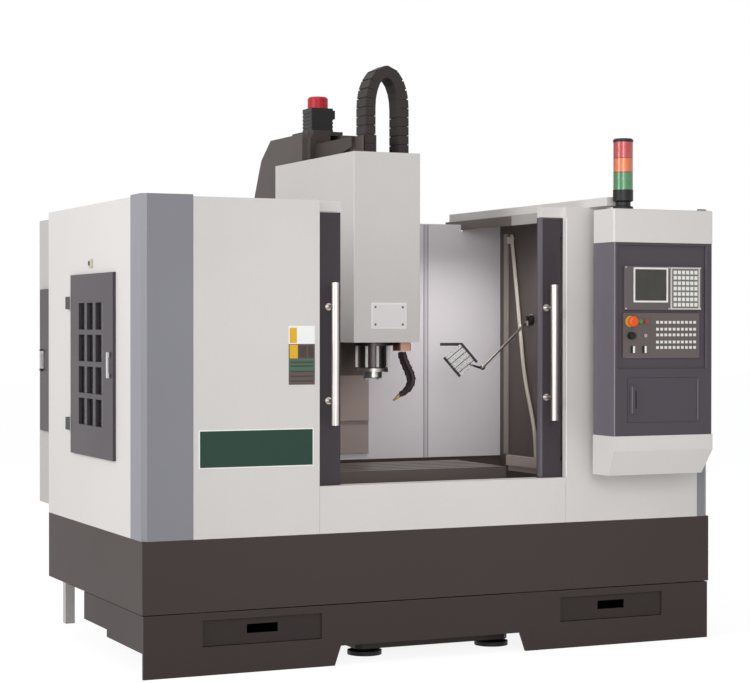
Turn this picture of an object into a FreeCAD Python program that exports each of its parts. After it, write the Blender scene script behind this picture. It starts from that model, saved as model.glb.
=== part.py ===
import FreeCAD, Part
import math
import os

import Sketcher

# A vertical machining centre: a cast bed and column, a cross table, a spindle head,
# a tool carousel, a sheet metal enclosure on a dark skirt, a coolant tank and a control pendant.
#
# Lengths are in millimetres. The sheet's lengths are measured from the enclosure's front left
# corner on the floor: x to the right, y to the back, z up. Every sub-part is then carried over
# to the machine's own origin, which is the middle of its footprint.

doc = FreeCAD.newDocument("machining_centre")
sheet = doc.addObject("Spreadsheet::Sheet", "sizes")

SIZES = [
    # enclosure and skirt
    ("machine_wide", 2700), ("enclosure_deep", 1403), ("front_reach", 300), ("rear_reach", 1884),
    ("seam_high", 255), ("skirt_high", 555), ("panel_high", 1946), ("skin", 3), ("fold", 30),
    ("opening_left", 771), ("opening_right", 1951), ("sill_high", 753), ("pillar_wide", 216),
    ("pillar_deep", 155), ("corner_cut", 20), ("right_pillar_wide", 62), ("pillar_high", 1954),
    ("wall_front", 1220), ("right_wall", 2275), ("wall_low", 770), ("duct_left", 2063),
    # sliding doors
    ("stile_left", 785), ("stile_right", 881), ("door_thick", 30), ("door_low", 757),
    ("door_high", 1897), ("handle_low", 1008), ("handle_high", 1602), ("handle_radius", 16),
    # service doors in the two sides
    ("service_front", 354), ("service_back", 989), ("service_low", 858), ("service_high", 1646),
    ("pane_front", 497), ("pane_back", 858), ("pane_low", 991), ("pane_high", 1521),
    # coolant tank
    ("tank_deep", 839), ("tank_low", 135), ("notch_left", 841), ("notch_right", 1751),
    ("notch_high", 82), ("drawer_wide", 522), ("drawer_low", 118), ("drawer_high", 222),
    ("left_drawer", 258), ("right_drawer", 1926), ("drawer_deep", 420),
    # bed, saddle and table
    ("bed_low", 30), ("bed_top", 440), ("rail_high", 28), ("rail_wide", 34), ("rail_gap", 45),
    ("saddle_thick", 155), ("table_thick", 90), ("table_long", 1000), ("table_wide", 500),
    ("table_x", 1390), ("table_y", 690), ("rail_spread_y", 260), ("rail_spread_x", 160),
    # column and head
    ("column_left", 1208), ("column_right", 1504), ("column_front", 1246), ("column_top", 2348),
    ("screw_x", 1350), ("screw_y", 1390), ("screw_radius", 16), ("screw_fit", 0.3),
    ("spindle_x", 1356), ("spindle_y", 750), ("nose_low", 1180),
    ("cover_left", 1190), ("cover_right", 1522), ("cover_front", 591), ("cover_back", 1550),
    ("cover_low", 1346), ("cover_high", 2212),
    # drag chain
    ("chain_x", 1391), ("chain_y", 720), ("chain_deep", 105), ("chain_bend", 84),
    ("chain_thick", 50), ("chain_top", 2617), ("chain_rise", 168),
    # tool carousel
    ("carousel_x", 600), ("carousel_radius", 270), ("carousel_low", 1138), ("carousel_thick", 26),
    # pendant and tower lamp
    ("pendant_left", 2034), ("pendant_right", 2542), ("pendant_front", 265), ("pendant_back", 91),
    ("pendant_low", 773), ("pendant_base", 945), ("pendant_cap", 1784), ("pendant_high", 1929),
    ("ledge_high", 1235), ("lamp_x", 2110), ("lamp_y", 215),
    # electrical cabinet
    ("cabinet_left", 80), ("cabinet_right", 980), ("cabinet_back", 1862), ("cabinet_low", 567),
    ("cabinet_high", 1930),
]
for row, (alias, number) in enumerate(SIZES, start=1):
    sheet.set("A%d" % row, alias.replace("_", " "))
    sheet.set("B%d" % row, str(number))
    sheet.setAlias("B%d" % row, alias)
doc.recompute()


class Size:
    """A length from the sheet, or worked out from such lengths, with the formula that says how."""

    def __init__(self, value, formula):
        self.value = float(value)
        self.formula = formula

    def combine(self, other, sign, value):
        return Size(value, "(%s %s %s)" % (self.formula, sign, size(other).formula))

    def __add__(self, other):
        return self.combine(other, "+", self.value + size(other).value)

    def __sub__(self, other):
        return self.combine(other, "-", self.value - size(other).value)

    def __mul__(self, other):
        return self.combine(other, "*", self.value * size(other).value)

    def __truediv__(self, other):
        return self.combine(other, "/", self.value / size(other).value)

    def __radd__(self, other):
        return size(other) + self

    def __rsub__(self, other):
        return size(other) - self

    def __rmul__(self, other):
        return size(other) * self

    def __neg__(self):
        return Size(-self.value, "(0 - %s)" % self.formula)


def size(number):
    """Gives a plain number the same dress as a length from the sheet."""
    if isinstance(number, Size):
        return number
    return Size(number, "(%.6f)" % number)


SHAFT_FIT = 0.05


class Sheet:
    """Reads a length from the sheet by its alias."""

    def __getattr__(self, alias):
        return Size(sheet.get(alias), "sizes." + alias)


S = Sheet()
CENTRE_X = S.machine_wide / 2
CENTRE_Y = (S.rear_reach - S.front_reach) / 2

nodes = []


def bind(item, field, length):
    item.setExpression(field, size(length).formula)


def bind_place(item, x, y, z):
    bind(item, "Placement.Base.x", x)
    bind(item, "Placement.Base.y", y)
    bind(item, "Placement.Base.z", z)


def keep(item, label):
    """Marks an object as a finished sub-part that gets a file of its own."""
    item.Label = label
    nodes.append(item)
    return item


# ---- drawing helpers -------------------------------------------------------------------------

def rect(u0, w0, u1, w1):
    return [(u0, w0), (u1, w0), (u1, w1), (u0, w1)]


class Round:
    """A circle in a sketch."""

    def __init__(self, u, w, radius):
        self.u, self.w, self.radius = size(u), size(w), size(radius)


def pin(rules, geometry, point, u, w):
    """Holds one point of a sketch at its distances from the sketch's origin."""
    for kind, axis, length in (("DistanceX", -2, size(u)), ("DistanceY", -1, size(w))):
        if length.value == 0:
            rules.append((Sketcher.Constraint("PointOnObject", geometry, point, axis), None))
        else:
            rules.append((Sketcher.Constraint(kind, -1, 1, geometry, point, length.value), length))


def draw(sketch, shapes):
    """Draws closed outlines, given as lists of corners, and circles."""
    curves = []
    rules = []
    for shape in shapes:
        first = len(curves)
        if isinstance(shape, Round):
            centre = FreeCAD.Vector(shape.u.value, shape.w.value, 0)
            curves.append(Part.Circle(centre, FreeCAD.Vector(0, 0, 1), shape.radius.value))
            pin(rules, first, 3, shape.u, shape.w)
            rules.append((Sketcher.Constraint("Radius", first, shape.radius.value), shape.radius))
            continue
        corners = [FreeCAD.Vector(size(u).value, size(w).value, 0) for u, w in shape]
        count = len(corners)
        for i, (u, w) in enumerate(shape):
            after = (i + 1) % count
            curves.append(Part.LineSegment(corners[i], corners[after]))
            rules.append((Sketcher.Constraint("Coincident", first + i, 2, first + after, 1), None))
            pin(rules, first + i, 1, u, w)
    sketch.addGeometry(curves, False)
    sketch.addConstraint([rule for rule, length in rules])
    for number, (rule, length) in enumerate(rules):
        if length is not None and "sizes." in length.formula:
            sketch.setExpression("Constraints[%d]" % number, length.formula)


# A sketch on XZ looks along +Y, so its normal points to the front.
FACES_BACK = {"XY": False, "XZ": True, "YZ": False}


def sketch_on(body, plane, level, shapes):
    sketch = body.newObject("Sketcher::SketchObject", body.Name + "_sketch")
    support = next(o for o in body.Origin.OriginFeatures if o.Role == plane + "_Plane")
    sketch.AttachmentSupport = [(support, "")]
    sketch.MapMode = "FlatFace"
    height = -size(level) if FACES_BACK[plane] else size(level)
    bind(sketch, "AttachmentOffset.Base.z", height)
    draw(sketch, shapes)
    return sketch


def new_body(label, at=None):
    """A body drawn in the enclosure's coordinates, or from the place where it stands."""
    body = doc.addObject("PartDesign::Body", label)
    x, y, z = at if at else (0, 0, 0)
    bind_place(body, x - CENTRE_X, y - CENTRE_Y, z)
    return body


def pad(body, plane, low, high, shapes):
    """Raises outlines from low to high along the axis that the plane leaves out."""
    level = high if FACES_BACK[plane] else low
    sketch = sketch_on(body, plane, level, shapes)
    feature = body.newObject("PartDesign::Pad", body.Name + "_pad")
    feature.Profile = sketch
    bind(feature, "Length", size(high) - size(low))
    body.Tip = feature
    return feature


def pocket(body, plane, low, high, shapes):
    """Cuts outlines away from low to high along the axis that the plane leaves out."""
    level = low if FACES_BACK[plane] else high
    sketch = sketch_on(body, plane, level, shapes)
    feature = body.newObject("PartDesign::Pocket", body.Name + "_pocket")
    feature.Profile = sketch
    bind(feature, "Length", size(high) - size(low))
    body.Tip = feature
    return feature


def turn(body, outline):
    """Turns an outline of (radius, height) points about the body's own Z axis."""
    sketch = sketch_on(body, "XZ", 0, [outline])
    feature = body.newObject("PartDesign::Revolution", body.Name + "_turn")
    feature.Profile = sketch
    feature.ReferenceAxis = (sketch, ["V_Axis"])
    feature.Angle = 360
    body.Tip = feature
    return feature


def bevel(body, length, chosen):
    """Chamfers the edges of the body for which chosen(edge) is true."""
    doc.recompute()
    base = body.Tip
    names = ["Edge%d" % (i + 1) for i, edge in enumerate(base.Shape.Edges) if chosen(edge)]
    feature = body.newObject("PartDesign::Chamfer", body.Name + "_bevel")
    feature.Base = (base, names)
    bind(feature, "Size", length)
    body.Tip = feature
    return feature


def along(edge, axis):
    """True for a straight edge that runs along x, y or z."""
    ends = edge.Vertexes
    if len(ends) != 2:
        return False
    step = ends[1].Point.sub(ends[0].Point)
    run = {"x": abs(step.x), "y": abs(step.y), "z": abs(step.z)}
    return run[axis] > 0.999 * edge.Length


def box(x0, y0, z0, x1, y1, z1, name="block"):
    item = doc.addObject("Part::Box", name)
    bind(item, "Length", size(x1) - x0)
    bind(item, "Width", size(y1) - y0)
    bind(item, "Height", size(z1) - z0)
    bind_place(item, size(x0) - CENTRE_X, size(y0) - CENTRE_Y, z0)
    return item


TURN_TO = {
    "x": FreeCAD.Rotation(FreeCAD.Vector(0, 1, 0), 90),
    "y": FreeCAD.Rotation(FreeCAD.Vector(1, 0, 0), -90),
    "z": FreeCAD.Rotation(),
}


def rod(x, y, z, radius, length, axis="z", name="rod"):
    item = doc.addObject("Part::Cylinder", name)
    bind(item, "Radius", radius)
    bind(item, "Height", length)
    item.Placement = FreeCAD.Placement(FreeCAD.Vector(0, 0, 0), TURN_TO[axis])
    bind_place(item, size(x) - CENTRE_X, size(y) - CENTRE_Y, z)
    return item


def cone(x, y, z, radius_low, radius_high, length, axis="z", name="cone"):
    item = doc.addObject("Part::Cone", name)
    bind(item, "Radius1", radius_low)
    bind(item, "Radius2", radius_high)
    bind(item, "Height", length)
    item.Placement = FreeCAD.Placement(FreeCAD.Vector(0, 0, 0), TURN_TO[axis])
    bind_place(item, size(x) - CENTRE_X, size(y) - CENTRE_Y, z)
    return item


def fuse(items, name="fused"):
    item = doc.addObject("Part::MultiFuse", name)
    item.Shapes = items
    return item


def cut(base, tools, name="cut"):
    item = doc.addObject("Part::Cut", name)
    item.Base = base
    item.Tool = tools[0] if len(tools) == 1 else fuse(tools, name + "_tools")
    return item


# ---- bed, column and the cross table ------------------------------------------------------------

def bed():
    """The cast bed: a long way bed, widened at the back under the column, with ribbed flanks."""
    left, right = S.table_x - 370, S.table_x + 370
    wide_left, wide_right = S.column_left - 300, S.column_right + 300
    body = new_body("bed_casting")
    plan = [(left, 170), (right, 170), (right, 1120), (wide_right, 1210), (wide_right, S.rear_reach),
            (wide_left, S.rear_reach), (wide_left, 1210), (left, 1120)]
    pad(body, "XY", S.bed_low, S.bed_top, [plan])
    for side in (left, right - 60):
        windows = [rect(y, 120, y + 190, 330) for y in (230, 470, 710)]
        pocket(body, "YZ", side, side + 60, windows)
    trough = rect(S.table_x - 190, 260, S.table_x + 190, 1130)
    pocket(body, "XY", S.bed_top - 70, S.bed_top, [trough])
    bevel(body, 25, lambda e: along(e, "z") and e.CenterOfMass.y < 200)
    rails = [guide_rail("y", S.table_x + S.rail_spread_y * side, 205, 1175, S.bed_top) for side in (-1, 1)]
    bearings = []
    for y in (262, 1126):
        block = box(S.table_x - 36, y, S.bed_top - 71, S.table_x + 36, y + 30, S.bed_top + 40)
        seat = rod(S.table_x, y - 1, S.bed_top + 15, S.screw_radius - 4 + SHAFT_FIT, 32, "y")
        bearings.append(cut(block, [seat], "bearing"))
    return keep(fuse([body] + rails + bearings, "bed"), "bed")


def levelling_feet():
    """Six levelling pads: a round foot with a bevelled rim under each corner and flank."""
    feet = []
    places = [(S.table_x - 310, 230), (S.table_x + 310, 230), (S.table_x - 310, 1000),
              (S.table_x + 310, 1000), (S.column_left - 230, 1790), (S.column_right + 230, 1790)]
    for x, y in places:
        plate = rod(x, y, 0, 75, S.bed_low - 12, name="foot_plate")
        rim = cone(x, y, S.bed_low - 12, 75, 45, 12, name="foot_rim")
        feet.append(fuse([plate, rim], "foot"))
    return keep(fuse(feet, "levelling_feet"), "levelling_feet")


def guide_rail(axis, across, start, stop, low):
    """One profiled rail: a bar with a groove along each flank."""
    half = S.rail_wide / 2
    if axis == "y":
        bar = box(across - half, start, low, across + half, stop, low + S.rail_high)
        flanks = [rod(across + half * side, start, low + S.rail_high * 0.6, 5, stop - start, "y")
                  for side in (-1, 1)]
    else:
        bar = box(start, across - half, low, stop, across + half, low + S.rail_high)
        flanks = [rod(start, across + half * side, low + S.rail_high * 0.6, 5, size(stop) - start, "x")
                  for side in (-1, 1)]
    return cut(bar, flanks, "rail")


def saddle():
    """The saddle: a block on the bed's rails that carries the long rails of the table."""
    low = S.bed_top + S.rail_gap
    high = low + S.saddle_thick
    x, y = S.table_x, S.table_y
    body = new_body("saddle_casting")
    wing = [(x - 590, high), (x - 590, high - 45), (x - 330, low), (x + 330, low),
            (x + 590, high - 45), (x + 590, high)]
    pad(body, "XZ", y - 230, y + 230, [wing])
    pad(body, "XY", low, high, [rect(x - 320, y - 270, x + 320, y + 270)])
    carriages = []
    for side in (-1, 1):
        for end in (-180, 180):
            cx, cy = x + S.rail_spread_y * side, y + end
            carriages.append(rect(cx - 38, cy - 45, cx + 38, cy + 45))
    pad(body, "XY", S.bed_top + 8, low, carriages)
    gap = 0.5
    grooves = []
    for side in (-1, 1):
        cx = x + S.rail_spread_y * side
        half = S.rail_wide / 2 + gap
        grooves.append(rect(cx - half, S.bed_top, cx + half, S.bed_top + S.rail_high + gap))
    pocket(body, "XZ", y - 280, y + 280, grooves)
    screw_bore = Round(x, S.bed_top + 15, S.screw_radius + S.screw_fit)
    pad(body, "XZ", y - 60, y + 60, [rect(x - 50, S.bed_top - 30, x + 50, low)])
    pocket(body, "XZ", y - 61, y + 61, [screw_bore])
    rails = [guide_rail("x", y + S.rail_spread_x * side, x - 585, x + 585, high) for side in (-1, 1)]
    bearings = []
    for left in (x - 578, x + 550):
        block = box(left, y - 25, high - 1, left + 28, y + 25, high + 42)
        seat = rod(left - 1, y, high + 25, S.screw_radius - 4 + SHAFT_FIT, 30, "x")
        bearings.append(cut(block, [seat], "bearing"))
    return keep(fuse([body] + rails + bearings, "saddle"), "saddle")


def table_low():
    return S.bed_top + S.rail_gap * 2 + S.saddle_thick


def table():
    """The work table: five T-slots along its top, a coolant gutter round it, carriages below."""
    low = table_low()
    high = low + S.table_thick
    x, y = S.table_x, S.table_y
    x0, x1 = x - S.table_long / 2, x + S.table_long / 2
    y0, y1 = y - S.table_wide / 2, y + S.table_wide / 2
    body = new_body("table")
    pad(body, "XY", low, high, [rect(x0, y0, x1, y1)])
    slots = []
    for i in range(-2, 3):
        c = y + 90 * i
        slots.append([(c - 16, high - 36), (c + 16, high - 36), (c + 16, high - 22),
                      (c + 9, high - 22), (c + 9, high + 1), (c - 9, high + 1),
                      (c - 9, high - 22), (c - 16, high - 22)])
    pocket(body, "YZ", x0 - 1, x1 + 1, slots)
    pocket(body, "XZ", y0 - 1, y0 + 10, [rect(x0 - 1, high - 68, x1 + 1, high - 52)])
    carriages = []
    for side in (-1, 1):
        for end in (-130, 130):
            cx, cy = x + end, y + S.rail_spread_x * side
            carriages.append(rect(cx - 45, cy - 38, cx + 45, cy + 38))
    pad(body, "XY", low - S.rail_gap + 8, low, carriages)
    grooves = []
    for side in (-1, 1):
        cy = y + S.rail_spread_x * side
        half = S.rail_wide / 2 + 0.5
        grooves.append(rect(cy - half, low - S.rail_gap - 1, cy + half, low - S.rail_gap + S.rail_high + 0.5))
    pocket(body, "YZ", x0, x1, grooves)
    pad(body, "XY", low - 42, low, [rect(x - 50, y - 34, x + 50, y + 34)])
    pocket(body, "YZ", x - 51, x + 51, [Round(y, low - 20, S.screw_radius + S.screw_fit)])
    return keep(body, "table")


def ball_screw(label, axis, x, y, z, length, stub):
    """A ball screw: a ground shaft with a thicker threaded stretch and turned-down ends."""
    step = {"x": (1, 0, 0), "y": (0, 1, 0), "z": (0, 0, 1)}[axis]
    radius = S.screw_radius
    ends = [rod(x - step[0] * stub, y - step[1] * stub, z - step[2] * stub, radius - 4, stub, axis),
            rod(x + step[0] * size(length), y + step[1] * size(length), z + step[2] * size(length),
                radius - 4, stub, axis)]
    return keep(fuse([rod(x, y, z, radius, length, axis)] + ends, label), label)


def column():
    """The column: a cast box with a raked back, flared feet and a channel for the Z screw."""
    body = new_body("column_casting")
    top, back = S.column_top, S.rear_reach
    side = [(S.column_front, S.bed_top), (back, S.bed_top), (back, 2080), (1819, 2204),
            (1787, 2259), (1661, top), (S.column_front, top)]
    pad(body, "YZ", S.column_left, S.column_right, [side])
    flare = [(S.column_left - 190, S.bed_top), (S.column_right + 190, S.bed_top),
             (S.column_right + 190, S.bed_top + 120), (S.column_right, 1060), (S.column_left, 1060),
             (S.column_left - 190, S.bed_top + 120)]
    pad(body, "XZ", 1300, back, [flare])
    channel = rect(S.screw_x - 62, S.column_front - 1, S.screw_x + 62, S.screw_y + 60)
    pocket(body, "XY", 760, top + 1, [channel])
    windows = [rect(S.column_left + 50, z, S.column_right - 50, z + 300) for z in (700, 1120, 1540)]
    pocket(body, "XZ", back - 70, back + 1, windows)
    pieces = [body, z_motor_mount(), screw_foot()] + z_guide_rails() + magazine_beam()
    return keep(fuse(pieces, "column"), "column")


def screw_foot():
    """The lower bearing of the Z screw, a block across the column's channel."""
    x, y = S.screw_x, S.screw_y
    block = box(x - 66, y - 50, 930, x + 66, y + 70, 960, "foot_block")
    seat = rod(x, y, 929, S.screw_radius - 4 + SHAFT_FIT, 32)
    return cut(block, [seat], "screw_foot")


def z_guide_rails():
    rails = []
    low, high = 1092, 2330
    for side in (-1, 1):
        x = S.spindle_x + 106 * side
        half = S.rail_wide / 2
        bar = box(x - half, S.column_front - S.rail_high, low, x + half, S.column_front, high)
        flanks = [rod(x + half * edge, S.column_front - S.rail_high * 0.6, low, 5, high - low)
                  for edge in (-1, 1)]
        rails.append(cut(bar, flanks, "rail"))
    return rails


def z_servo_motor():
    """The Z servo motor: a square finned body on the mount, and a round encoder cap on its top."""
    x, y = S.screw_x, S.screw_y
    low = S.column_top + 20
    high = low + 118
    half = 57
    body = box(x - half, y - half, low, x + half, y + half, high, "motor_body")
    ribs = []
    for i in range(5):
        z = low + 16 + i * 18
        for side in (-1, 1):
            edge = x + half * side
            ribs.append(box(edge - 3, y - half - 1, z, edge + 3, y + half + 1, z + 7, "rib_gap"))
    cap = rod(x, y, high, 50, 50, name="encoder_cap")
    crown = cone(x, y, high + 50, 50, 42, 8, name="encoder_crown")
    plug = box(x + half - 2, y - 22, low + 70, x + half + 26, y + 22, low + 112, "motor_plug")
    return keep(fuse([cut(body, ribs, "finned_body"), cap, crown, plug], "z_servo_motor"), "z_servo_motor")


def z_motor_mount():
    """The cast mount on the column's top, with the arm that reaches out to the drag chain."""
    top = S.column_top
    arm_top = top - 52
    x, y = S.screw_x, S.screw_y
    body = new_body("z_motor_mount")
    pad(body, "XY", top, top + 20, [rect(x - 90, y - 100, x + 90, y + 110)])
    bore = Round(x, y, S.screw_radius - 4 + SHAFT_FIT)
    pocket(body, "XY", top - 1, top + 21, [bore])
    leg = S.chain_x - S.chain_bend
    arm_left, arm_right = leg - 45, leg + 45
    chain_back = S.chain_y + S.chain_deep / 2
    arm_front, arm_back = chain_back + 8, S.column_front + 12
    pad(body, "XY", arm_top - 8, arm_top, [rect(arm_left, arm_front, arm_right, arm_back)])
    gusset = [(arm_front, arm_top - 48), (arm_back, arm_top - 128), (arm_back, arm_top), (arm_front, arm_top)]
    pad(body, "YZ", arm_left, arm_left + 8, [gusset])
    sheet_thick = 6
    cheek_low = arm_top - 88
    cheeks = []
    for side in (-1, 1):
        c = leg + side * (S.chain_thick / 2 + 6)
        cheeks.append(rect(c - 3, S.chain_y - S.chain_deep / 2 + 10, c + 3, chain_back + 9))
    pad(body, "XY", cheek_low, arm_top, cheeks)
    back = rect(leg - 34, chain_back + 3, leg + 34, chain_back + 3 + sheet_thick)
    pad(body, "XY", cheek_low, arm_top, [back])
    pad(body, "XY", arm_top, top + 20, [rect(arm_left, S.column_front - 8, arm_right, S.column_front + 12)])
    pad(body, "XY", top, top + 20, [rect(arm_left, S.column_front - 8, arm_right, y - 90)])
    return body


# ---- head and spindle -----------------------------------------------------------------------------

def spindle_head():
    """The cast head: a carriage on the column's rails and a snout round the spindle."""
    x, y = S.spindle_x, S.spindle_y
    left, right = S.cover_left + 12, S.cover_right - 12
    body = new_body("head_casting")
    snout = [(left, 640), (left + 60, 606), (right - 60, 606), (right, 640), (right, 1195), (left, 1195)]
    pad(body, "XY", S.cover_low + 6, 1560, [snout])
    back = [(1040, 1560), (1195, 1560), (1195, 1700), (1120, 1700)]
    pad(body, "YZ", left, right, [back])
    blocks = []
    for side in (-1, 1):
        c = x + 106 * side
        blocks.append(rect(c - 38, 1195, c + 38, S.column_front - 8))
    pad(body, "XY", 1380, 1480, blocks)
    pad(body, "XY", 1590, 1690, blocks)
    grooves = []
    for side in (-1, 1):
        c = x + 106 * side
        half = S.rail_wide / 2 + 0.5
        grooves.append(rect(c - half, S.column_front - S.rail_high - 0.5, c + half, S.column_front))
    pocket(body, "XY", 1370, 1700, grooves)
    pad(body, "XY", 1500, 1570, [rect(S.screw_x - 45, 1190, S.screw_x + 45, S.screw_y + 40)])
    pocket(body, "XY", 1499, 1571, [Round(S.screw_x, S.screw_y, S.screw_radius + S.screw_fit)])
    pocket(body, "XY", S.cover_low - 1, 1561, [Round(x, y, 48)])
    pieces = [body, spindle_nose(), coolant_manifold(), spindle_motor()]
    return keep(fuse(pieces, "spindle_head"), "spindle_head")


def head_cover():
    """The tall sheet metal cover of the head: a front, two long sides, open at top and back."""
    left, right = S.cover_left, S.cover_right
    skin = S.skin
    front, back = S.cover_front, S.cover_back
    body = new_body("cover_sheet")
    wrap = [(left, front), (right, front), (right, back), (right - skin, back),
            (right - skin, front + skin), (left + skin, front + skin), (left + skin, back), (left, back)]
    pad(body, "XY", S.cover_low, S.cover_high, [wrap])
    hem = [(left + skin, front + skin), (right - skin, front + skin), (right - skin, 600),
           (left + skin, 600)]
    pad(body, "XY", S.cover_low, S.cover_low + skin, [hem])
    bevel(body, 2, lambda e: along(e, "z") and abs(e.CenterOfMass.y - S.cover_front.value) < 0.01)
    return keep(fuse([body, chain_trough(), z_cover_upper()], "head_cover"), "head_cover")


def chain_trough():
    """The trough inside the cover's right side that the chain's moving leg slides in."""
    leg = S.chain_x + S.chain_bend
    inner = S.chain_thick / 2 + 2
    front, back = S.chain_y - S.chain_deep / 2, S.chain_y + S.chain_deep / 2
    skin = S.cover_right - 2.99
    body = new_body("chain_trough")
    plan = [(leg - inner - 3, front + 10), (leg - inner, front + 10), (leg - inner, back + 3),
            (leg + inner, back + 3), (leg + inner, front + 10), (leg + inner + 3, front + 10),
            (leg + inner + 3, back), (skin, back), (skin, back + 6), (leg - inner - 3, back + 6)]
    pad(body, "XY", 2132, 2200, [plan])
    return body


def spindle_motor():
    """The spindle motor on top of the head: a finned body and a round fan cover."""
    x, y = S.spindle_x, S.spindle_y
    low = 1560
    body = box(x - 95, y - 95, low, x + 95, y + 95, low + 230)
    grooves = []
    for i in range(5):
        z = low + 40 + i * 34
        for side in (-1, 1):
            edge = x + side * 95
            grooves.append(box(edge - 5, y - 96, z, edge + 5, y + 96, z + 12))
    finned = cut(body, grooves, "motor_body")
    fan = rod(x, y, low + 230, 84, 60)
    return fuse([finned, fan], "spindle_motor")


def spindle_nose():
    """The spindle's housing below the head: a bolted flange, a barrel and the nose ring."""
    x, y = S.spindle_x, S.spindle_y
    body = new_body("spindle_nose", (x, y, 0))
    low, high = S.nose_low, S.cover_low + 6
    turn(body, [(47, high), (92, high), (92, high - 22), (64, high - 22), (64, low + 50),
                (72, low + 46), (72, low + 30), (47, low + 30)])
    return body


def spindle():
    """The spindle: a nose with a tapered tool socket and two drive keys, and its shaft."""
    x, y = S.spindle_x, S.spindle_y
    low = S.nose_low
    body = new_body("spindle", (x, y, 0))
    turn(body, [(22, low), (40, low), (44, low + 4), (44, low + 370), (12, low + 370),
                (12, low + 66), (18, low + 66)])
    keys = [rect(24, -8, 40, 8), rect(-40, -8, -24, 8)]
    pad(body, "XY", low - 7, low + 0.5, keys)
    return keep(body, "spindle")


def coolant_manifold():
    """The coolant manifold beside the nose: a copper coloured block with two hose ports."""
    body = new_body("coolant_manifold")
    low = S.cover_low - 40
    pad(body, "XY", low, S.cover_low + 6, [rect(1448, 655, 1508, 735)])
    bevel(body, 6, lambda e: along(e, "z"))
    return body


def tube(points, radius):
    """A round tube along straight runs joined by tangent arcs."""
    edges = []
    start = points[0]
    for before, corner, after in zip(points, points[1:], points[2:]):
        come, go = corner.sub(before), after.sub(corner)
        half_turn = come.getAngle(go) / 2
        reach = 0.45 * min(come.Length, go.Length)
        come.normalize()
        go.normalize()
        bulge = reach / math.tan(half_turn) * (1 / math.cos(half_turn) - 1)
        inward = go.sub(come)
        inward.normalize()
        arc_start, arc_end = corner - come * reach, corner + go * reach
        edges.append(Part.makeLine(start, arc_start))
        edges.append(Part.Arc(arc_start, corner + inward * bulge, arc_end).toShape())
        start = arc_end
    edges.append(Part.makeLine(start, points[-1]))
    path = Part.Wire(edges)
    ring = Part.Wire(Part.makeCircle(radius, points[0], points[1].sub(points[0])))
    return path.makePipeShell([ring], True, False)


def jointed_hose(points, radius, pitch):
    """A hose of bell-shaped segments, a hair apart along the route, with a nozzle at its end."""
    line = Part.BSplineCurve()
    line.interpolate(points)
    count = int(line.length() / pitch)
    spots = [line.value(line.parameterAtDistance(i * pitch)) for i in range(count + 1)]
    gap = 0.3
    pieces = []
    for here, there in zip(spots, spots[1:]):
        way = there.sub(here)
        pieces.append(Part.makeCone(radius * 0.72, radius, way.Length - gap, here, way))
    way = spots[-1].sub(spots[-2])
    pieces.append(Part.makeCone(radius * 0.66, radius * 0.3, radius + 34, spots[-1], way))
    return pieces


def coolant_hoses():
    """Two jointed coolant hoses that hang from the manifold and point at the tool, and the
    bright coolant tubes that stand round the nose under its flange."""
    centre = FreeCAD.Vector(CENTRE_X.value, CENTRE_Y.value, 0)
    low = S.cover_low.value - 40
    pieces = []
    for y, droop in ((675, 0), (714, -8)):
        route = [(1478, y, low - 6), (1489, y, 1262), (1517, y + 3, 1212 + droop),
                 (1530, y + 5, 1170 + droop), (1514, y + 6, 1134 + droop), (1474, y + 8, 1108 + droop)]
        points = [FreeCAD.Vector(*spot) - centre for spot in route]
        pieces += jointed_hose(points, 14, 28)
    foot, head = S.nose_low.value + 51, S.cover_low.value - 16.3
    for angle in (-137, -97, -35, 25, 155):
        spoke = FreeCAD.Rotation(FreeCAD.Vector(0, 0, 1), angle).multVec(FreeCAD.Vector(74, 0, 0))
        spot = FreeCAD.Vector(S.spindle_x.value, S.spindle_y.value, foot) + spoke - centre
        pieces.append(Part.makeCylinder(7, head - foot, spot))
    item = doc.addObject("Part::Feature", "coolant_hoses")
    item.Shape = Part.makeCompound(pieces)
    return keep(item, "coolant_hoses")


def z_cover_middle():
    """The middle plate of the slot cover under the head, which follows at half speed."""
    front = S.wall_front - 16
    middle = new_body("z_cover_middle")
    pad(middle, "XY", 800, 1147, [rect(1168, front + 7, 1544, front + 10)])
    pad(middle, "XY", 800, 803, [rect(1168, front + 4.5, 1544, front + 8)])
    return keep(middle, "z_cover_middle")


def z_cover_upper():
    """The upper plate, hung from the head cover, with a hem along its foot."""
    front = S.wall_front - 16
    upper = new_body("z_cover_upper")
    pad(upper, "XY", 960, S.cover_low, [rect(1170, front, 1542, front + 3)])
    pad(upper, "XY", 960, 963, [rect(1170, front - 6, 1542, front + 1)])
    pad(upper, "XY", S.cover_low - 3, S.cover_low + 1, [rect(1190, front - 20, 1522, front + 1)])
    return upper


# ---- drag chain -------------------------------------------------------------------------------------

def chain_link(thick, deep, length, middle, angle, name):
    """One link of the bend: a box across the route, turned by the angle in degrees."""
    link = doc.addObject("Part::Box", name)
    bind(link, "Length", thick)
    bind(link, "Width", deep)
    bind(link, "Height", length)
    turned = FreeCAD.Rotation(FreeCAD.Vector(0, 1, 0), -angle)
    corner = turned.multVec(FreeCAD.Vector(-size(thick).value / 2, -size(deep).value / 2, -length / 2))
    link.Placement = FreeCAD.Placement(middle + corner, turned)
    return link


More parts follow.
